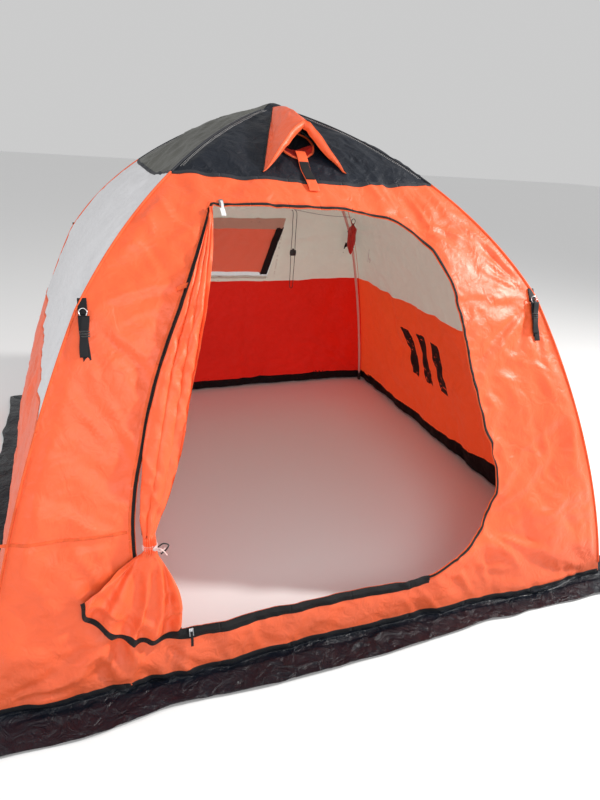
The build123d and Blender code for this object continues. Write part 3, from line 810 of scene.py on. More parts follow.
def smooth_area(x, s, faces):
    """Area of faces laid flat."""
    total = 0.0
    for face in faces:
        px = x[face]
        ps = s[face]
        total += 0.5 * abs(np.dot(px, np.roll(ps, -1)) - np.dot(ps, np.roll(px, -1)))
    return float(total)


def declare_panel(x, s, faces):
    """Works out a panel's width, length and the area of its smooth pattern, and keeps none of them.

    For a stretched sheet the width is cut to one that makes its box fit its area, which is not the real
    width of its pattern.
    """
    used = np.unique(np.concatenate(faces))
    wide = float(np.ptp(x[used]))
    long = float(np.ptp(s[used]))
    area = smooth_area(x, s, faces)
    if area < 0.3 * wide * long:
        wide = area / 0.6 / long


def make_canopy(side, per_sector, pitch):
    """The cloth of one side, in pieces for each panel and sector, with its openings cut out."""
    u = canopy_columns(per_sector)
    rows, marks = canopy_rows(side, u, pitch)
    shape = rows.shape
    x = (u[None, :] * width_at(rows)).ravel()
    s = rows.ravel()
    gone = np.zeros(len(x), bool)
    lines = {"front": [door_line(), vent_line()], "back": [window_line()]}.get(side, [])
    for line in lines:
        x, s, away, _ = cut_hole(x, s, line, 0.55 * pitch)
        gone |= away
    points = on_wall(side, x, s).reshape(shape + (3,))
    normals = grid_normals(points).reshape(-1, 3)
    points = points.reshape(-1, 3)
    uv = np.column_stack([x, s])
    columns = shape[1]
    for level, (name, outer, inner, slot_name, node) in enumerate(panel_names(side)):
        for sector in range(SECTORS):
            faces = []
            for row in range(marks[level], marks[level + 1]):
                first = row * columns + sector * per_sector
                for corner in range(first, first + per_sector):
                    face = [corner, corner + 1, corner + columns + 1, corner + columns]
                    kept = [i for i in face if not gone[i]]
                    if len(kept) >= 3:
                        faces.append(np.array(kept))
            if not faces:
                continue
            faces = drop_slivers(x, s, faces, lines)
            piece = shell("%s_%d" % (name, sector), points, normals, uv, faces, [outer, inner])
            declare_panel(x, s, faces)
            fix_to(piece, "root", [node])


def drop_slivers(x, s, faces, lines):
    """Leaves out faces whose middle is in a hole."""
    if not lines:
        return faces
    middle_x = np.array([x[f].mean() for f in faces])
    middle_s = np.array([s[f].mean() for f in faces])
    bad = np.zeros(len(faces), bool)
    for line in lines:
        bad |= inside(middle_x, middle_s, line)
    return [f for f, b in zip(faces, bad) if not b]


# ---- The ground skirt ----

def skirt_reach(side, x):
    """How far out the skirt's uneven edge lies."""
    seed = SEEDS[side] + 200
    base = 1.085
    if side == "front":
        base = 1.100 - 0.022 * smooth((x + 0.4) / 1.3)
    wave = 0.018 * noise(x * 4.0, 0.3, seed) + 0.010 * noise(x * 11.0, 0.7, seed + 1)
    corner = smooth((np.abs(x) - 0.85) / 0.2)
    return base + wave * (1.0 - corner) + 0.012 * corner


def make_skirt(side, per_sector):
    """The black cloth from a wall's hem down to the ground and out over it."""
    u = canopy_columns(per_sector)
    band = 7
    flange = 16
    hem = hem_run(side, u)
    low = float(run_at(0.010))
    rows = []
    for t in np.linspace(0.0, 1.0, band + 1):
        s = hem + (low - hem) * t
        x = u * width_at(s)
        rows.append(on_wall(side, x, s, 0.0005 - 0.0005 * t))
    seed = SEEDS[side] + 300
    reach = skirt_reach(side, u * 1.06)
    for t in np.linspace(0.0, 1.0, flange + 1)[1:]:
        out = 1.004 + (reach - 1.004) * t
        x = u * out
        lifted = 0.5 + 0.5 * crumple(x * 1.1, out * 0.8, 0.060, seed)
        broad = 0.5 + 0.5 * noise(x * 7.0, out * 5.0, seed + 9)
        rise = 0.0032 + smooth(t / 0.25) * (0.007 * lifted + 0.010 * broad ** 2)
        rise = rise + 0.010 * (1.0 - smooth(t / 0.18))
        rise = rise * (0.45 + 0.55 * smooth((1.0 - np.abs(u)) / 0.03))
        flat = np.stack([x, -out, np.maximum(rise, 0.0022)], axis=-1)
        rows.append(turned(flat, side))
    points = np.stack(rows)
    uv = np.stack([np.broadcast_to(u, points.shape[:2]),
                   np.broadcast_to(np.linspace(0.0, 0.16, len(rows))[:, None], points.shape[:2])], axis=-1)
    normals = -grid_normals(points)
    columns = points.shape[1]
    for sector in range(SECTORS):
        faces = []
        for row in range(points.shape[0] - 1):
            first = row * columns + sector * per_sector
            faces += [[c + columns, c + columns + 1, c + 1, c] for c in range(first, first + per_sector)]
        piece = shell("ground_skirt_%s_%d" % (side, sector), points.reshape(-1, 3), normals.reshape(-1, 3),
                      uv.reshape(-1, 2), faces, [SKIRT, BLACK_INNER])
        fix_to(piece, "root", ["ground_skirt"])


# ---- Strips sewn on the walls ----

def strip(name, side, line, section, skin, nodes=()):
    """A tape along a line on a wall, in one piece for each sector it crosses. section is (aside, lift)."""
    line = np.asarray(line, float)
    ahead = np.gradient(line, axis=0)
    ahead /= np.linalg.norm(ahead, axis=1)[:, None]
    aside = np.column_stack([ahead[:, 1], -ahead[:, 0]])
    x = np.stack([line[:, 0] + aside[:, 0] * a for a, _ in section], axis=1)
    s = np.stack([line[:, 1] + aside[:, 1] * a for a, _ in section], axis=1)
    lift = np.broadcast_to(np.array([b for _, b in section]), x.shape)
    points = on_wall(side, x, s, lift)
    run = cumulative(line)
    uv = np.stack([np.broadcast_to(run[:, None], x.shape), np.broadcast_to(
        np.array([a for a, _ in section]), x.shape)], axis=-1)
    place = sector_of(line[:, 0], line[:, 1])
    for number, (start, stop) in enumerate(sector_runs(place)):
        piece = loft("%s_%d" % (name, number), points[start:stop], uv[start:stop], skin)
        fix_to(piece, "root", nodes)


def loft(name, points, uv, skin):
    """A closed solid with the same section at each step of a grid of points."""
    steps, sides = points.shape[:2]
    faces = []
    for i in range(steps - 1):
        for j in range(sides):
            k = (j + 1) % sides
            faces.append((i * sides + j, (i + 1) * sides + j, (i + 1) * sides + k, i * sides + k))
    last = (steps - 1) * sides
    faces.append(tuple(range(sides)))
    faces.append(tuple(last + j for j in reversed(range(sides))))
    return make_mesh(name, points.reshape(-1, 3), faces, [skin], None, uv.reshape(-1, 2))


def flat_section(low, high, base, top):
    """The section of a flat tape from low to high aside, with rounded edges."""
    edge = 0.0008
    return ((low, base), (low, top - edge * 0.5), (low + edge, top), (high - edge, top),
            (high, top - edge * 0.5), (high, base))


def row_line(level, count=180, limit=0.995):
    """A line across a wall at the length up it that level(u) gives."""
    u = np.linspace(-limit, limit, count)
    s = level(u)
    return np.column_stack([u * width_at(s), s])


def make_seams(side):
    """Seam tapes across a side: roof seam, hem and, except on the front, colour seam."""
    wave_seed = SEEDS[side] + 90

    def wavy(u):
        return 0.003 * noise(u * 4.0, 0.5 + 0.0 * u, wave_seed) * (1.0 - u ** 2)

    def roof_level(u):
        return run_at(ROOF_SEAM_Z) - SEAM_SAG * (1.0 - u ** 2) + wavy(u)

    def colour_level(u):
        return run_at(COLOUR_SEAM_Z) - 0.010 * (1.0 - u ** 2) + wavy(u)

    strip("roof_seam_%s" % side, side, row_line(roof_level), flat_section(-0.006, 0.006, -0.0004, 0.0016),
          SEAM_BLACK)
    if side != "front":
        strip("colour_seam_%s" % side, side, row_line(colour_level),
              flat_section(-0.0055, 0.0055, -0.0004, 0.0014), SEAM_ORANGE)
    strip("hem_%s" % side, side, row_line(lambda u: hem_run(side, u) + 0.002),
          flat_section(-0.006, 0.006, -0.0004, 0.0018), WEBBING)


def make_panel_seam():
    """A felled seam across the front wall, from the left rib to the door."""
    x = np.linspace(-0.93, -0.625, 60)
    z = 0.452 - 0.030 * (x + 0.93)
    strip("front_panel_seam", "front", np.column_stack([x, run_at(z)]),
          flat_section(-0.004, 0.004, -0.0004, 0.0012), SEAM_ORANGE)


def make_rib_piping(side):
    """A round welt along the corner to the right of a side, in three lengths."""
    for name, low, high, skin, slot_name in (
            ("lower", HEM_Z, COLOUR_SEAM_Z, SEAM_ORANGE, "orange_cloth"),
            ("upper", COLOUR_SEAM_Z, ROOF_SEAM_Z, SEAM_ORANGE, "orange_cloth"),
            ("roof", ROOF_SEAM_Z, 1.470, SEAM_BLACK, "black_cloth")):
        s = np.linspace(run_at(low), run_at(high), 70)
        out = width_at(s)
        z = height_at(s)
        lift = 0.0006
        path = turned(np.column_stack([out + lift, -(out + lift), z]), side)
        radius = np.full(len(s), 0.0034)
        points, faces = tube_mesh(path, radius, 8)
        piece = make_mesh("rib_welt_%s_%s" % (side, name), points, faces, [skin])
        fix_to(piece, "root")


def stitch_row(name, side, line, lift, skin, pitch=0.0065, length=0.0042):
    """A row of sewing thread stitches along a line on a wall."""
    run = cumulative(line)
    at = np.arange(pitch, run[-1] - pitch, pitch)
    first = np.column_stack([np.interp(at, run, line[:, k]) for k in range(2)])
    last = np.column_stack([np.interp(at + length, run, line[:, k]) for k in range(2)])
    a = on_wall(side, first[:, 0], first[:, 1], lift)
    b = on_wall(side, last[:, 0], last[:, 1], lift)
    up = on_wall(side, first[:, 0], first[:, 1], lift + 0.001) - a
    up /= np.linalg.norm(up, axis=1)[:, None]
    ahead = (b - a) / np.linalg.norm(b - a, axis=1)[:, None]
    over = np.cross(up, ahead) * 0.0005
    rise = up * 0.0005
    places = sector_of(first[:, 0], first[:, 1])
    for sector in np.unique(places):
        picked = np.flatnonzero(places == sector)
        corners = np.stack([a - over, a + over, b + over, b - over], axis=1)[picked]
        top = corners + rise[picked][:, None, :]
        points = np.concatenate([corners, top], axis=1).reshape(-1, 3)
        faces = []
        for k in range(len(picked)):
            o = 8 * k
            faces += [(o + 4, o + 5, o + 6, o + 7), (o, o + 1, o + 5, o + 4), (o + 1, o + 2, o + 6, o + 5),
                      (o + 2, o + 3, o + 7, o + 6), (o + 3, o, o + 4, o + 7), (o + 3, o + 2, o + 1, o)]
        piece = make_mesh("%s_%d" % (name, sector), points, faces, [skin])
        fix_to(piece, "root")


def make_roof_stitching(side):
    """Two light rows of stitches beside each rib of the roof."""
    s = np.linspace(run_at(ROOF_SEAM_Z + 0.012), run_at(1.472), 120)
    out = width_at(s)
    for way in (-1.0, 1.0):
        for number, gap in enumerate((0.010, 0.018)):
            line = np.column_stack([way * (out - gap), s])
            line = line[np.abs(line[:, 0]) > 0.01]
            hand = "left" if way < 0 else "right"
            stitch_row("roof_stitch_%s_%s_%d" % (side, hand, number), side, line, 0.0002, SEAM_WHITE)


# ---- The door ----

def make_door_zip():
    """Black coil zip round the opening and a wide tape under the sill."""
    line = door_line()
    above = line[:, 1] > run_at(DOOR_SILL_Z + 0.006)
    start = int(np.flatnonzero(above)[0])
    path = line[start:][above[start:]]
    facing = flat_section(-0.0022, 0.0150, -0.0020, 0.0007)
    strip("door_facing", "front", path, facing, SEAM_ORANGE)
    coil = ((-0.0004, 0.0000), (-0.0004, 0.0018), (0.0008, 0.0031), (0.0022, 0.0035), (0.0036, 0.0031),
            (0.0045, 0.0019), (0.0078, 0.0015), (0.0082, 0.0003))
    strip("door_zip", "front", path, coil, ZIP_TAPE, ["door_zip"])
    z = run_at(DOOR_SILL_Z)
    sill = np.column_stack([np.linspace(-0.545, 0.262, 170), np.full(170, z)])
    sill[:, 1] += 0.012 * smooth((sill[:, 0] - 0.16) / 0.12) + 0.010 * smooth((-0.48 - sill[:, 0]) / 0.08)
    wide = ((0.001, -0.0004), (0.001, 0.0014), (0.011, 0.0016), (0.0125, 0.0034), (0.0155, 0.0038),
            (0.0185, 0.0034), (0.020, 0.0016), (0.030, 0.0014), (0.031, -0.0004))
    strip("sill_zip", "front", sill, wide, ZIP_TAPE, ["sill_zip"])


FLAP_RIGHT = ((1.188, -0.330), (1.154, -0.334), (1.10, -0.344), (1.049, -0.358), (0.911, -0.394),
              (0.818, -0.419), (0.724, -0.445), (0.628, -0.470), (0.531, -0.505), (0.471, -0.536),
              (0.430, -0.556))
FLAP_LEFT = ((1.188, -0.338), (1.154, -0.350), (1.10, -0.376), (1.049, -0.402), (0.911, -0.468),
             (0.818, -0.510), (0.724, -0.543), (0.628, -0.572), (0.531, -0.588), (0.471, -0.594),
             (0.430, -0.590))
FLAP_HEM = ((-0.752, 0.292), (-0.738, 0.240), (-0.700, 0.198), (-0.645, 0.158), (-0.588, 0.138),
            (-0.540, 0.140), (-0.503, 0.160))
FLAP_FOLDS = 3.4
FLAP_HEAD_Z = 1.186
FLAP_NECK_Z = 0.432
COLUMN_ROWS = 120           # rows of points from the flap's head to its neck


def flap_points(across=121, down=COLUMN_ROWS, tail=60):
    """The gathered door: pleats that hang in a column, a tied neck, and a tail that fans out."""
    v = np.linspace(0.0, 1.0, across)
    right = np.array(FLAP_RIGHT)[::-1]
    left = np.array(FLAP_LEFT)[::-1]
    rows = []
    for z in np.linspace(FLAP_HEAD_Z, FLAP_NECK_Z, down):
        hang = (FLAP_HEAD_Z - z) / (FLAP_HEAD_Z - FLAP_NECK_Z)
        r = np.interp(z, right[:, 0], right[:, 1])
        l = np.interp(z, left[:, 0], left[:, 1])
        drift = 0.22 * noise(v * 3.0, z * 4.0, 401) + 0.08 * noise(v * 7.0, z * 9.0, 402)
        phase = 2.0 * math.pi * FLAP_FOLDS * (v + 0.05 * noise(v * 5.0, z * 3.0, 403)) + 5.0 * drift
        phase = phase + 9.0 * (z - 0.8) * (1.0 - 0.6 * smooth((0.62 - z) / 0.2))
        deep = 0.0275 * smooth(hang / 0.35) * (1.0 - 0.38 * smooth((hang - 0.82) / 0.18))
        share = 0.72 + 0.28 * noise(v * 4.0 + 3.0, z * 3.0, 404)
        fold = (0.5 - 0.5 * np.cos(phase)) ** 0.8
        crown = 0.008 * smooth(hang / 0.3) * np.sin(math.pi * v)
        lift = 0.0046 + deep * share * fold * 0.85 + crown + 0.004 * (1.0 - smooth(hang / 0.3))
        lean = 0.30 * (l - r) / FLAP_FOLDS * np.sin(phase) * smooth(hang / 0.3)
        x = l + (r - l) * v + lean
        lift = lift + 0.0030 * crumple(x + v * 0.12 + 0.8 * z, np.full(across, z) * 0.8, 0.055, 407)
        lift = lift + 0.0014 * crumple(x + 0.6 * z, np.full(across, z), 0.030, 408)
        rows.append((x, np.full(across, z), lift))
    angle = np.linspace(-0.25 * math.pi, 1.25 * math.pi, across)
    for z in np.linspace(0.424, 0.392, 7):
        frill = 0.0022 * np.sin(2.0 * math.pi * 13.0 * v)
        r = 0.0145 + frill
        x = TIE[0] - r * np.cos(angle)
        rows.append((x, np.full(across, z), 0.0185 + r * np.sin(angle)))
    hem = curve(FLAP_HEM, across)
    for t in np.linspace(0.04, 1.0, tail):
        start_x = TIE[0] - 0.0165 * np.cos(angle)
        start_z = 0.388
        open_out = smooth(t / 0.85)
        way = t ** 0.92
        x = start_x + (hem[:, 0] - start_x) * way
        z = start_z + (hem[:, 1] - start_z) * way
        bulge = 0.026 * math.sin(math.pi * min(1.0, t * 1.05)) * np.where(v < 0.5, -0.4, 1.0)
        x = x + bulge * np.abs(v - 0.5) * 2.0
        phase = 2.0 * math.pi * 4.2 * v + 2.4 * noise(v * 4.0, t * 1.6, 411) + 1.2 * t
        share = 0.62 + 0.38 * noise(v * 6.0, t * 1.5, 412)
        deep = 0.0300 * (0.45 + 0.55 * open_out) * share
        start_lift = 0.0185 + 0.0165 * np.sin(angle)
        lift = 0.0052 + deep * (0.5 - 0.5 * np.cos(phase)) + 0.006 * np.sin(math.pi * t)
        lift = start_lift * (1.0 - smooth(t / 0.30)) + lift * smooth(t / 0.30)
        lift = lift + 0.0030 * crumple(x * 1.2, z, 0.050, 413) * open_out
        rows.append((x + 0.004 * np.sin(phase) * open_out, z, lift))
    x, z, lift = (np.stack([row[k] for row in rows]) for k in range(3))
    lift = np.clip(lift, 0.0036, 0.0395)
    s = run_at(z)
    out = width_at(s)
    away = np.interp(s, RUN, NORMAL[:, 0])
    up = np.interp(s, RUN, NORMAL[:, 1])
    ground = np.maximum(relief("front", x, s), -0.002)
    height = lift + ground
    points = np.stack([x, -(out + away * height), z + up * height], axis=-1)
    return points


def make_flap():
    """The gathered door flap, with its hem tape and the tape on its left edge."""
    points = flap_points()
    run_v = np.linspace(0.0, 0.75, points.shape[1])
    run_t = np.linspace(0.0, 1.06, points.shape[0])
    uv = np.stack([np.broadcast_to(run_v, points.shape[:2]),
                   np.broadcast_to(run_t[:, None], points.shape[:2])], axis=-1)
    flap = shell_from_grid("door_flap", points, uv, [ORANGE, ORANGE_LINING], 0.0012, flip=True)
    fix_to(flap, "root", ["door_flap"])
    normals = -grid_normals(points)
    hem = points[-5:] + normals[-5:] * 0.0016
    tape_piece = shell_from_grid("door_flap_hem_tape", hem, uv[-5:], [ZIP_TAPE, ZIP_TAPE], 0.0044,
                                 flip=True)
    fix_to(tape_piece, "root")
    edge = points[:COLUMN_ROWS, :4] + normals[:COLUMN_ROWS, :4] * 0.0014
    bound = shell_from_grid("door_flap_left_tape", edge, uv[:COLUMN_ROWS, :4], [ZIP_TAPE, ZIP_TAPE],
                            0.0040, flip=True)
    fix_to(bound, "root")


def make_flap_tie():
    """Cord wound three times round the neck of the flap, knotted, with loose tails."""
    out = float(out_at(TIE[1]))
    centre = np.array([TIE[0], -(out + 0.0195), TIE[1]])
    turns = 3.0
    a = np.linspace(0.0, 2.0 * math.pi * turns, 110)
    r = 0.0180
    coil = np.column_stack([r * np.cos(a - 1.2), r * np.sin(a - 1.2),
                            0.0052 * (a / a[-1] * turns - 1.5)]) + centre
    parts = [(0, tube_mesh(coil, 0.0018, 8))]
    knot = centre + np.array([0.010, -0.0185, 0.002])
    a = np.linspace(0.0, 2.0 * math.pi, 40)
    for lean, size in ((0.5, 0.0058), (1.9, 0.0052)):
        ring = np.column_stack([size * np.cos(a), 0.003 * np.sin(2 * a + lean),
                                size * np.sin(a + lean)]) + knot
        parts.append((0, tube_mesh(ring, 0.0018, 8)))
    for end in ((0.026, -0.024, 0.004), (0.030, -0.022, -0.020)):
        tail = curve([knot, knot + np.array(end) * (0.5, 0.5, -0.2),
                      knot + np.array(end) * (1.0, 0.35, 1.0)], 20)
        tail[:, 1] = np.maximum(tail[:, 1], centre[1] - 0.0345)
        parts.append((0, tube_mesh(tail, 0.0017, 8)))
    points, faces, picks = join(parts)
    tie = make_mesh("flap_tie", points, faces, [CORD_LIGHT], picks)
    fix_to(tie, "root", ["flap_tie"])
    start = centre + np.array([0.020, -0.006, -0.004])
    curl = curve([start, start + (0.012, -0.008, 0.014), start + (0.026, -0.004, 0.004),
                  start + (0.020, 0.002, -0.014), start + (0.006, -0.002, -0.022)], 40)
    loop = tube("flap_tie_loop", curl, 0.0020, CORD_BLACK)
    fix_to(loop, "root")


def make_slider(name, x, z, tag):
    """A zip slider: body with a raised bridge, and a pull tab that hangs from it."""
    s = float(run_at(z))
    base = on_wall("front", x, s, 0.0016)
    out = on_wall("front", x, s, 0.0116) - base
    out /= np.linalg.norm(out)
    low = on_wall("front", x, s - 0.01, 0.0016)
    down = low - base
    down /= np.linalg.norm(down)
    over = np.cross(down, out)
    lean = Matrix((over, out, -down)).transposed()

    def at(a, b, c):
        return base + over * a + out * b - down * c

    parts = [(0, box_mesh(at(0, 0.0022, 0), (0.013, 0.0034, 0.021), lean)),
             (0, box_mesh(at(0, 0.0052, 0.004), (0.0042, 0.0030, 0.011), lean)),
             (0, box_mesh(at(0.0, 0.0068, -0.001), (0.0062, 0.0016, 0.004), lean))]
    points, faces, picks = join(parts)
    slider = bevel(make_mesh(name, points, faces, [ZIP_METAL], picks), 0.0007)
    pull = curve([at(0, 0.0068, 0.003), at(0, 0.0088, -0.006), at(0, 0.0062, -0.020),
                  at(0.001, 0.0040, -0.036)], 16)
    points, faces = strap_mesh(pull, over, 0.0070, 0.0016)
    tab = make_mesh(name + "_pull", points, faces, [tag])
    for piece, slot_name in ((slider, "zip_metal"), (tab, "black_webbing")):
        nodes = [name] if piece is slider else []
        fix_to(piece, name, nodes)


# ---- The roof vent ----

HOOD_BACK = np.array((-0.027, -0.085, 1.4800))
HOOD_LEFT = np.array((-0.157, -0.430, 1.2800))
HOOD_RIGHT = np.array((0.117, -0.414, 1.2920))
HOOD_TOP = np.array((-0.006, -0.345, 1.4400))


def hood_points(count=61, steps=46):
    """The awning over the vent: it runs from a point at the back to an arched mouth between two legs."""
    b = np.linspace(-1.0, 1.0, count)
    left = curve([HOOD_LEFT, (-0.108, -0.402, 1.342), (-0.052, -0.368, 1.410), HOOD_TOP], count // 2 + 1)
    right = curve([HOOD_TOP, (0.034, -0.364, 1.406), (0.076, -0.390, 1.348), HOOD_RIGHT], count // 2 + 1)
    mouth = np.vstack([left, right[1:]])
    rows = []
    for t in np.linspace(0.0, 1.0, steps):
        line = HOOD_BACK + (mouth - HOOD_BACK) * t
        puff = 0.016 * math.sin(math.pi * t) * (1.0 - np.abs(b)) ** 0.8
        crease = 0.0030 * ridged(b * 5.0 + 3.0, np.full(count, t * 2.0), 501) * t
        crease = crease + 0.0016 * crumple(b * 0.15, np.full(count, t * 0.35), 0.035, 503)
        line = line + np.stack([0.25 * b * puff, -0.35 * (puff + crease), puff + crease], axis=-1)
        rows.append(line)
    points = np.stack(rows)
    out = np.maximum(np.abs(points[..., 0]), np.abs(points[..., 1]))
    roof = np.interp(-out, -PROFILE[:, 0], PROFILE[:, 1])
    relax = relief("front", points[..., 0], run_from_out(out))
    points[..., 2] = np.maximum(points[..., 2], roof + relax + 0.0045)
    return points


def make_hood():
    """The orange awning over the vent, with its lip and bindings, and the vent under it."""
    points = hood_points()
    uv = np.stack(np.meshgrid(np.linspace(0, 0.36, points.shape[1]),
                              np.linspace(0, 0.36, points.shape[0])), axis=-1)
    flat = points[1:]
    hood = shell_from_grid("vent_hood", flat, uv[1:], [ORANGE, BLACK_INNER], 0.0014, flip=True)
    fix_to(hood, "root", ["vent_hood"])
    mouth = points[-1]
    b = np.linspace(-1.0, 1.0, len(mouth))
    arch = smooth((1.0 - np.abs(b)) / 0.30)[:, None]
    inward = np.array((-0.018, -0.350, 1.345)) - mouth
    inward /= np.linalg.norm(inward, axis=1)[:, None]
    lip = []
    for t in np.linspace(0.0, 1.0, 9):
        bow = 0.006 * math.sin(math.pi * t)
        fold = inward * (0.022 * t) * arch + np.array((0.0, -bow - 0.001, 0.0)) * arch
        lip.append(mouth + fold + np.array((0.0, 0.006 * t, 0.0)) * arch)
    lip = np.stack(lip)
    back = shell_from_grid("vent_hood_lip", lip, uv[:9], [ORANGE], 0.0014)
    fix_to(back, "root")
    for name, edge in (("left", points[1:, 0]), ("right", points[1:, -1])):
        bound = tube("vent_hood_%s_binding" % name, edge + (0.0, -0.0012, 0.0008), 0.0026, ZIP_TAPE, 8)
        fix_to(bound, "root")
    bound = tube("vent_hood_mouth_binding", mouth + (0.0, -0.0012, 0.0008), 0.0020, SEAM_ORANGE, 8)
    fix_to(bound, "root")
    make_vent_tube()


def make_vent_tube():
    """The red cloth cup in the vent hole, with an orange rim, and dark netting behind it."""
    a = np.linspace(0.0, 2.0 * math.pi, 61)
    ring_x = VENT_X + RIM_R * np.cos(a)
    ring_out = CUP_OUT + RIM_R * np.sin(a)
    ring_s = run_from_out(ring_out)
    rim_path = on_wall("front", ring_x, ring_s, 0.0040)
    rim = tube("vent_rim", rim_path, 0.0034, ORANGE, 8)
    fix_to(rim, "root")
    rows = []
    for t in np.linspace(0.0, 1.0, 16):
        size = CUP_R * (1.0 - t) + 0.0004
        x = VENT_X + size * np.cos(a)
        out = CUP_OUT + size * np.sin(a)
        s = run_from_out(out)
        sunk = 0.0030 - 0.016 * smooth(t) + 0.0012 * np.sin(9.0 * a) * math.sin(math.pi * t)
        rows.append(on_wall("front", x, s, sunk))
    cup = np.stack(rows)
    uv = np.stack(np.meshgrid(np.linspace(0, 0.36, 61), np.linspace(0, 0.058, 16)), axis=-1)
    front_half = slice(0, 31)
    back_half = slice(30, 61)
    red = shell_from_grid("vent_cup", cup[:, front_half], uv[:, front_half], [RED, RED], 0.0010, flip=True)
    fix_to(red, "root")
    net = shell_from_grid("vent_netting", cup[:, back_half], uv[:, back_half], [BLACK_INNER, BLACK_INNER],
                          0.0010, flip=True)
    fix_to(net, "root")


def make_vent_strap():
    """The hood's hook-and-loop strap: an orange tab, a black patch and a loose end."""
    s_top = float(run_at(1.332))
    s_low = float(run_at(1.236))
    path = []
    for t in np.linspace(0.0, 1.0, 34):
        lift = 0.0115 * (1.0 - smooth(t / 0.5)) + 0.0045 + 0.004 * math.sin(3.0 * math.pi * t) * t
        path.append(on_wall("front", -0.020 + 0.010 * t, s_top + (s_low - s_top) * t, lift))
    path = np.array(path)
    points, faces = strap_mesh(path, (1.0, 0.0, 0.0), 0.032, 0.0018)
    strap = make_mesh("vent_strap", points, faces, [ORANGE])
    fix_to(strap, "vent_strap", ["vent_strap"])
    patch = path[9:25] + (0.0, -0.0016, 0.0012)
    points, faces = strap_mesh(patch, (1.0, 0.0, 0.0), 0.029, 0.0024)
    pad = make_mesh("vent_strap_hook_patch", points, faces, [HOOK_LOOP])
    fix_to(pad, "vent_strap")


# ---- The back window ----

def wall_patch(name, side, corners, lift, skins, nodes=(), cells=(60, 34), thick=0.0012):
    """A four-cornered patch that lies on a wall, in one piece for each sector."""
    corners = np.array([(x, run_at(z)) for x, z in corners])
    p, q = np.meshgrid(np.linspace(0, 1, cells[0] + 1), np.linspace(0, 1, cells[1] + 1))
    flat = (corners[0] * ((1 - p) * (1 - q))[..., None] + corners[1] * (p * (1 - q))[..., None]
            + corners[2] * (p * q)[..., None] + corners[3] * ((1 - p) * q)[..., None])
    points = on_wall(side, flat[..., 0], flat[..., 1], lift)
    normals = grid_normals(points)
    column_place = sector_of(flat[:, :, 0].mean(0), flat[:, :, 1].mean(0))
    for number, (start, stop) in enumerate(sector_runs(column_place)):
        part = slice(start, stop)
        shape = points[:, part].shape[:2]
        piece = shell("%s_%d" % (name, number), points[:, part].reshape(-1, 3),
                      normals[:, part].reshape(-1, 3), flat[:, part].reshape(-1, 2),
                      [list(f) for f in grid_faces(*shape)], skins, thick)
        fix_to(piece, "root", nodes)


def make_window():
    """The clear window in the back wall, with its outer cover, hems and bindings."""
    pane = ((-0.304, 0.708), (0.304, 0.708), (0.304, 1.024), (-0.304, 1.024))
    wall_patch("window_film", "back", pane, -0.0030, [FILM], ["window_film"], thick=0.0010)
    cover = ((-0.225, 0.742), (0.300, 0.742), (0.300, 0.980), (-0.275, 0.980))
    # The cover's inner side is the copy of the inner orange with painted light on it.
    wall_patch("window_cover", "back", cover, 0.0052, [ORANGE, ORANGE_LIT])
    bound = ((-0.252, 0.735), (-0.214, 0.735), (-0.264, 0.988), (-0.302, 0.988))
    wall_patch("window_cover_edge", "back", bound, 0.0070, [WEBBING], cells=(8, 30))
    wall_patch("window_cover_edge_inside", "back", bound, -0.0062, [WEBBING],
               cells=(8, 30), thick=THIN_PATCH)
    side_hem = ((-0.312, 0.700), (-0.252, 0.700), (-0.302, 1.026), (-0.312, 1.026))
    wall_patch("window_side_hem", "back", side_hem, -0.0050, [WHITE_INNER], cells=(8, 30),
               thick=THIN_PATCH)
    top_hem = ((-0.300, 0.980), (0.312, 0.980), (0.312, 1.034), (-0.300, 1.034))
    wall_patch("window_top_hem", "back", top_hem, -0.0056, [WINDOW_HEM], cells=(30, 6),
               thick=THIN_PATCH)
    ring = window_line(0.006)
    ring = np.vstack([ring, ring[:2]])
    strip("window_binding", "back", ring, flat_section(-0.007, 0.007, -0.0004, 0.0018), SEAM_WHITE)
    strip("window_inner_binding", "back", ring, flat_section(-0.004, 0.004, -0.0056, -0.0044), FILM)


# Half of the doubled cord: offset aside, distance in from the wall, height.
CORD_ROUTE = ((0.0, 0.0, 1.080), (0.0, 0.012, 1.079), (0.0005, 0.021, 1.069), (0.0005, 0.024, 1.054),
              (0.001, 0.023, 1.028), (-0.0005, 0.024, 0.980), (0.0005, 0.022, 0.925), (0.0015, 0.023, 0.868),
              (0.0005, 0.024, 0.812), (-0.0005, 0.023, 0.765), (0.0, 0.024, 0.735), (-0.0005, 0.024, 0.717),
              (-0.004, 0.024, 0.705))


def window_cord_path():
    """Centre line of the doubled cord beside the window, down one side and up the other."""
    wall = float(out_at(1.080)) - 0.008
    half = 0.009
    down = [(CORD_X - half - a, wall - b, z) for a, b, z in CORD_ROUTE]
    up = [(CORD_X + half + a, wall - b, z) for a, b, z in reversed(CORD_ROUTE)]
    return curve(down + up, 260)


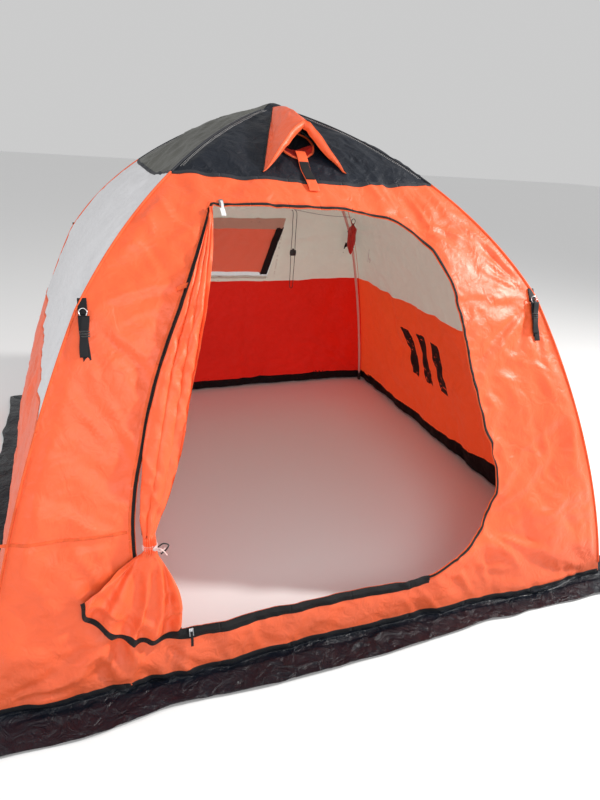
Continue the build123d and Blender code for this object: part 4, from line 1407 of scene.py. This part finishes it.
def make_window_cord():
    """The doubled cord beside the window, with its cord lock."""
    path = window_cord_path()
    cord = tube("window_cord", path, 0.0015, CORD_BLACK)
    fix_to(cord, "root", ["window_cord"])
    y = float(out_at(1.080)) - 0.032
    barrel = np.array([(CORD_X, y, z) for z in np.linspace(0.8665, 0.8935, 13)])
    swell = 0.0098 + 0.0022 * np.sin(np.linspace(0.25, math.pi - 0.25, 13))
    points, faces = tube_mesh(barrel, swell, 24)
    points[:, 1] = y + (points[:, 1] - y) * 0.62
    points[:, 0] = CORD_X + (points[:, 0] - CORD_X) * 1.40
    button = np.array([(CORD_X, y, z) for z in np.linspace(0.8930, 0.9010, 5)])
    more, more_faces = tube_mesh(button, (0.0056, 0.0056, 0.0056, 0.0050, 0.0030), 20)
    points, faces, picks = join([(0, (points, faces)), (0, (more, more_faces))])
    lock = make_mesh("cord_lock", points, faces, [PLASTIC], picks)
    fix_to(lock, "cord_lock", ["cord_lock"])


# ---- Inside fittings ----

BAG_TOP = np.array((0.610, 0.530, 1.057))


def make_gear_bag():
    """A small stuff bag with a gathered mouth, hung by its drawcord."""
    steps = 40
    around = 40
    a = np.linspace(0.0, 2.0 * math.pi, around, endpoint=False)
    rings = []
    for t in np.linspace(0.0, 1.0, steps):
        z = BAG_TOP[2] - 0.022 - 0.158 * t
        full = math.sin(math.pi * min(1.0, 0.18 + t * 0.86)) ** 0.45
        neck = smooth((t - 0.03) / 0.16)
        size = (0.24 + 0.76 * neck) * full * (1.0 - 0.86 * smooth((t - 0.93) / 0.07) ** 2)
        frill = 1.0 + (0.16 * (1.0 - neck) + 0.03) * np.cos(9.0 * a + 2.0 * t)
        sag = 1.0 + 0.20 * noise(np.cos(a) * 2.0 + 5.0, t * 5.0 + np.sin(a), 601)
        r = size * frill * sag
        rings.append(np.column_stack([BAG_TOP[0] + 0.0180 * r * np.cos(a),
                                      BAG_TOP[1] + 0.0290 * r * np.sin(a), np.full(around, z)]))
    points = np.vstack(rings)
    faces = []
    for i in range(steps - 1):
        for j in range(around):
            k = (j + 1) % around
            faces.append((i * around + k, i * around + j, (i + 1) * around + j, (i + 1) * around + k))
    faces.append(tuple(range(around)))
    last = (steps - 1) * around
    faces.append(tuple(last + j for j in reversed(range(around))))
    bag = make_mesh("gear_bag", points, faces, [RED])
    fix_to(bag, "gear_bag", ["gear_bag"])
    a = np.linspace(0.0, 2.0 * math.pi, 40)
    loop = BAG_TOP + np.column_stack([0.010 * np.sin(a), 0.0 * a, -0.013 + 0.0125 * np.cos(a)])
    wound = BAG_TOP + np.column_stack([0.0046 * np.cos(a), 0.0070 * np.sin(a), np.full(40, -0.0280)])
    points, faces, picks = join([(0, tube_mesh(loop, 0.0015, 8)), (0, tube_mesh(wound, 0.0016, 8))])
    cord = make_mesh("gear_bag_drawcord", points, faces, [CORD_BLACK], picks)
    fix_to(cord, "gear_bag")


def make_gear_line():
    """A thin line from the back wall to the bag, and a steel hook by the right wall that touches nothing."""
    start = np.array((CORD_X, float(out_at(1.085)) - 0.010, 1.085))
    end = BAG_TOP + (-0.004, 0.012, 0.006)
    t = np.linspace(0.0, 1.0, 60)[:, None]
    path = start + (end - start) * t
    path[:, 2] -= 0.008 * np.sin(math.pi * t[:, 0])
    line = tube("gear_line", path, 0.0011, CORD_GREY, 8)
    fix_to(line, "root")
    a = np.linspace(-0.6, 3.8, 30)
    hook = np.column_stack([0.0 * a, 0.011 * np.cos(a), 0.011 * np.sin(a)]) + (0.694, 0.48, 0.86)
    shank = np.array([(0.694, 0.491, z) for z in np.linspace(0.858, 0.915, 10)])
    points, faces, picks = join([(0, tube_mesh(hook, 0.0015, 8)), (0, tube_mesh(shank, 0.0015, 8))])
    piece = make_mesh("gear_hook", points, faces, [STEEL], picks)
    fix_to(piece, "root")


# ---- Guy line bundles, loops and labels ----

GUYS = {"fl": ("front", -0.684), "fr": ("front", 0.684), "br": ("back", -0.684), "bl": ("back", 0.684)}


def make_guy_bundle(corner):
    """A folded webbing strap and the guy line coiled on it, hung from a ring at the knee."""
    side, x = GUYS[corner]
    out = float(out_at(KNEE_Z)) + 0.0130
    drop = (float(out_at(0.815)) - float(out_at(KNEE_Z))) / 0.150

    def place(across, away, down):
        return turned(np.array([x + across, -(out + away - down * drop), 0.960 + down]), side)

    parts = []
    for number, (offset, length, sway) in enumerate(((-0.0046, 0.104, 0.004), (0.0, 0.116, -0.003),
                                                     (0.0046, 0.092, 0.006))):
        path = np.array([place(sway * math.sin(3.0 * t + number),
                               offset + 0.0010 * math.sin(9.0 * t + number), -0.004 - length * t)
                         for t in np.linspace(0.0, 1.0, 30)])
        across = place(1.0, 0.0, 0.0) - place(0.0, 0.0, 0.0)
        parts.append((0, strap_mesh(path, across, 0.0190, 0.0018)))
    a = np.linspace(0.0, 2.0 * math.pi, 36)
    for down in (-0.040, -0.0455, -0.051):
        wrap = np.array([place(0.0108 * math.cos(b), 0.0072 * math.sin(b), down + 0.002 * math.sin(b))
                         for b in a])
        parts.append((1, tube_mesh(wrap, 0.0016, 8)))
    ring = np.array([place(0.0095 * math.cos(b), 0.0, 0.0025 + 0.0095 * math.sin(b)) for b in a])
    parts.append((2, tube_mesh(ring, 0.0014, 8)))
    points, faces, picks = join(parts)
    bundle = make_mesh("guy_bundle_%s" % corner, points, faces, [WEBBING, CORD_BLACK, STEEL], picks)
    fix_to(bundle, "guy_bundle_%s" % corner, ["guy_bundle_%s" % corner])
    s = float(run_at(KNEE_Z))
    tab = np.array([on_wall(side, x, s + d, 0.0022) for d in np.linspace(-0.012, 0.030, 12)])
    across = turned(np.array([1.0, 0.0, 0.0]), side)
    points, faces = strap_mesh(tab, across, 0.0220, 0.0020)
    anchor = make_mesh("guy_anchor_%s" % corner, points, faces, [WEBBING])
    fix_to(anchor, "root")


def make_small_loops():
    """A cloth loop beside the door's head and a blank sewn label at its corner."""
    x = -0.436
    s = float(run_at(1.005))
    path = [on_wall("front", x + 0.018 * math.cos(b), s + 0.004 * math.cos(b), 0.001 + 0.012 * math.sin(b))
            for b in np.linspace(0.0, math.pi, 24)]
    points, faces = strap_mesh(np.array(path), (0.0, 0.0, 1.0), 0.012, 0.0016)
    loop = make_mesh("door_loop", points, faces, [SEAM_ORANGE])
    fix_to(loop, "root")
    s = float(run_at(1.186))
    path = [on_wall("front", -0.302, s - d, 0.0050 + 0.003 * math.sin(60.0 * d))
            for d in np.linspace(0, 0.030, 10)]
    points, faces = strap_mesh(np.array(path), (1.0, 0.0, 0.0), 0.013, 0.0010)
    label = make_mesh("blank_label", points, faces, [LABEL])
    fix_to(label, "root")


# ---- Pole sleeves ----

RIB_INSET = 0.043           # from the cloth's corner to the middle of the pole inside it
INSET_ANGLE = math.radians(38.0)
POLE_KNEE = (KNEE_OUT - RIB_INSET * math.cos(INSET_ANGLE), KNEE_Z - RIB_INSET * math.sin(INSET_ANGLE))
POLE_FOOT = (BASE_HALF * math.sqrt(2.0) - RIB_INSET, 0.009)
POLE_HUB = (0.036, 1.442)
CORNERS = {"fr": -45.0, "br": 45.0, "bl": 135.0, "fl": 225.0}


def make_sleeves(corner):
    """Light cloth sleeves over the bent poles."""
    a = math.radians(CORNERS[corner])
    for name, start, end, bulge, skip in (
            ("upper", POLE_HUB, POLE_KNEE, 0.0865, (0.090, 0.075)),
            ("lower", POLE_KNEE, POLE_FOOT, 0.0460, (0.070, 0.055))):
        arc = bulged_arc(start, end, bulge)
        run = cumulative(arc)
        even = np.linspace(skip[0], run[-1] - skip[1], 90)
        r = np.interp(even, run, arc[:, 0])
        z = np.interp(even, run, arc[:, 1])
        path = np.column_stack([r * math.cos(a), r * math.sin(a), z])
        ruffle = 0.0068 + 0.0010 * noise(even * 45.0, 0.5, 700 + int(CORNERS[corner]))
        points, faces = tube_mesh(path, ruffle, 14)
        sleeve = make_mesh("pole_sleeve_%s_%s" % (name, corner), points, faces, [SLEEVE])
        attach(sleeve, "rib_%s_%s" % (name, corner))


# ---- Plain bars on the right inner wall ----

def make_marks():
    """Three slanted bars on the inside of the right wall."""
    for number in range(3):
        x = -0.02 + 0.135 * number
        bar = ((x, 0.300), (x + 0.070, 0.300), (x + 0.125, 0.540), (x + 0.055, 0.540))
        wall_patch("inner_bar_%d" % number, "right", bar, -THICK - 0.0002, [WEBBING],
                   cells=(6, 26), thick=0.0005)


# ---- CAD pieces that stay ----

def paint_frame():
    """Gives each hard CAD part the material of its slot."""
    skins = {"hub_plastic": HUB_PLASTIC, "socket_plastic": SOCKET_PLASTIC, "pole_fibreglass": POLE,
             "steel": STEEL, "rubber_tip": RUBBER}
    for part in frame["record"]["subparts"]:
        skin = skins.get(part["material_slot"])
        if skin is not None:
            node = frame["nodes"][part["node"]]
            node.data.materials.clear()
            node.data.materials.append(skin)
            for polygon in node.data.polygons:
                polygon.use_smooth = True
            node.data.set_sharp_from_angle(angle=math.radians(32.0))


# ---- Stage ----

def make_camera():
    """The camera, placed to match the photo."""
    yaw = 0.379
    pitch = 0.411
    roll = 0.070
    ahead = Vector((math.sin(yaw) * math.cos(pitch), math.cos(yaw) * math.cos(pitch), -math.sin(pitch)))
    level = Vector((math.cos(yaw), -math.sin(yaw), 0.0))
    top = level.cross(ahead)
    right = level * math.cos(roll) + top * math.sin(roll)
    up = top * math.cos(roll) - level * math.sin(roll)
    data = bpy.data.cameras.new("camera")
    data.sensor_fit = "VERTICAL"
    data.sensor_height = 36.0
    data.lens = 25.994
    camera = bpy.data.objects.new("camera", data)
    turn = Matrix((right, up, -ahead)).transposed().to_4x4()
    camera.matrix_world = Matrix.Translation((-0.683, -2.170, 1.362)) @ turn
    bpy.context.scene.collection.objects.link(camera)
    bpy.context.scene.camera = camera


def make_light(name, place, target, size, power, colour=(1.0, 1.0, 1.0)):
    """A round area light that faces a target."""
    data = bpy.data.lights.new(name, "AREA")
    data.shape = "DISK"
    data.size = size
    data.energy = power
    data.color = colour
    light = bpy.data.objects.new(name, data)
    light.location = place
    light.rotation_mode = "QUATERNION"
    light.rotation_quaternion = (Vector(target) - Vector(place)).to_track_quat("-Z", "Y")
    bpy.context.scene.collection.objects.link(light)


def make_stage():
    """The light floor, the world light and three lamps."""
    mesh = bpy.data.meshes.new("floor")
    mesh.from_pydata([(-40, -40, 0), (40, -40, 0), (40, 40, 0), (-40, 40, 0)], [], [(0, 1, 2, 3)])
    floor = bpy.data.objects.new("floor", mesh)
    bpy.context.scene.collection.objects.link(floor)
    made, _, shader = new_material("floor")
    shader.inputs["Base Color"].default_value = (0.86, 0.86, 0.86, 1.0)
    shader.inputs["Roughness"].default_value = 0.9
    mesh.materials.append(made)
    world = bpy.data.worlds.new("studio")
    world.use_nodes = True
    world.node_tree.nodes["Background"].inputs["Color"].default_value = (1.0, 1.0, 1.0, 1.0)
    world.node_tree.nodes["Background"].inputs["Strength"].default_value = 0.60
    bpy.context.scene.world = world
    make_light("key", (3.8, -1.6, 3.1), (0.0, -0.7, 0.7), 0.30, 215.0, (1.0, 0.98, 0.95))
    make_light("side", (-4.2, -1.0, 2.4), (-0.4, -0.2, 0.7), 1.0, 45.0, (0.96, 0.98, 1.0))
    make_light("inside_fill", (-0.35, -3.0, 1.7), (0.1, 0.6, 0.5), 1.2, 22.0)
    bpy.context.scene.view_settings.view_transform = "Standard"


make_camera()
make_window_cord()
make_gear_line()
for name in TURN:
    make_canopy(name, 26 if name == "front" else 14, 0.009 if name == "front" else 0.014)
    make_skirt(name, 26 if name == "front" else 16)
    make_seams(name)
    make_rib_piping(name)
    make_roof_stitching(name)
make_door_zip()
make_panel_seam()
make_flap()
make_flap_tie()
make_slider("top_slider", -0.300, 1.201, LABEL)
make_slider("sill_slider", -0.480, 0.141, WEBBING)
make_hood()
make_vent_strap()
make_window()
make_gear_bag()
for name in GUYS:
    make_guy_bundle(name)
    make_sleeves(name)
make_small_loops()
make_marks()
paint_frame()
make_stage()
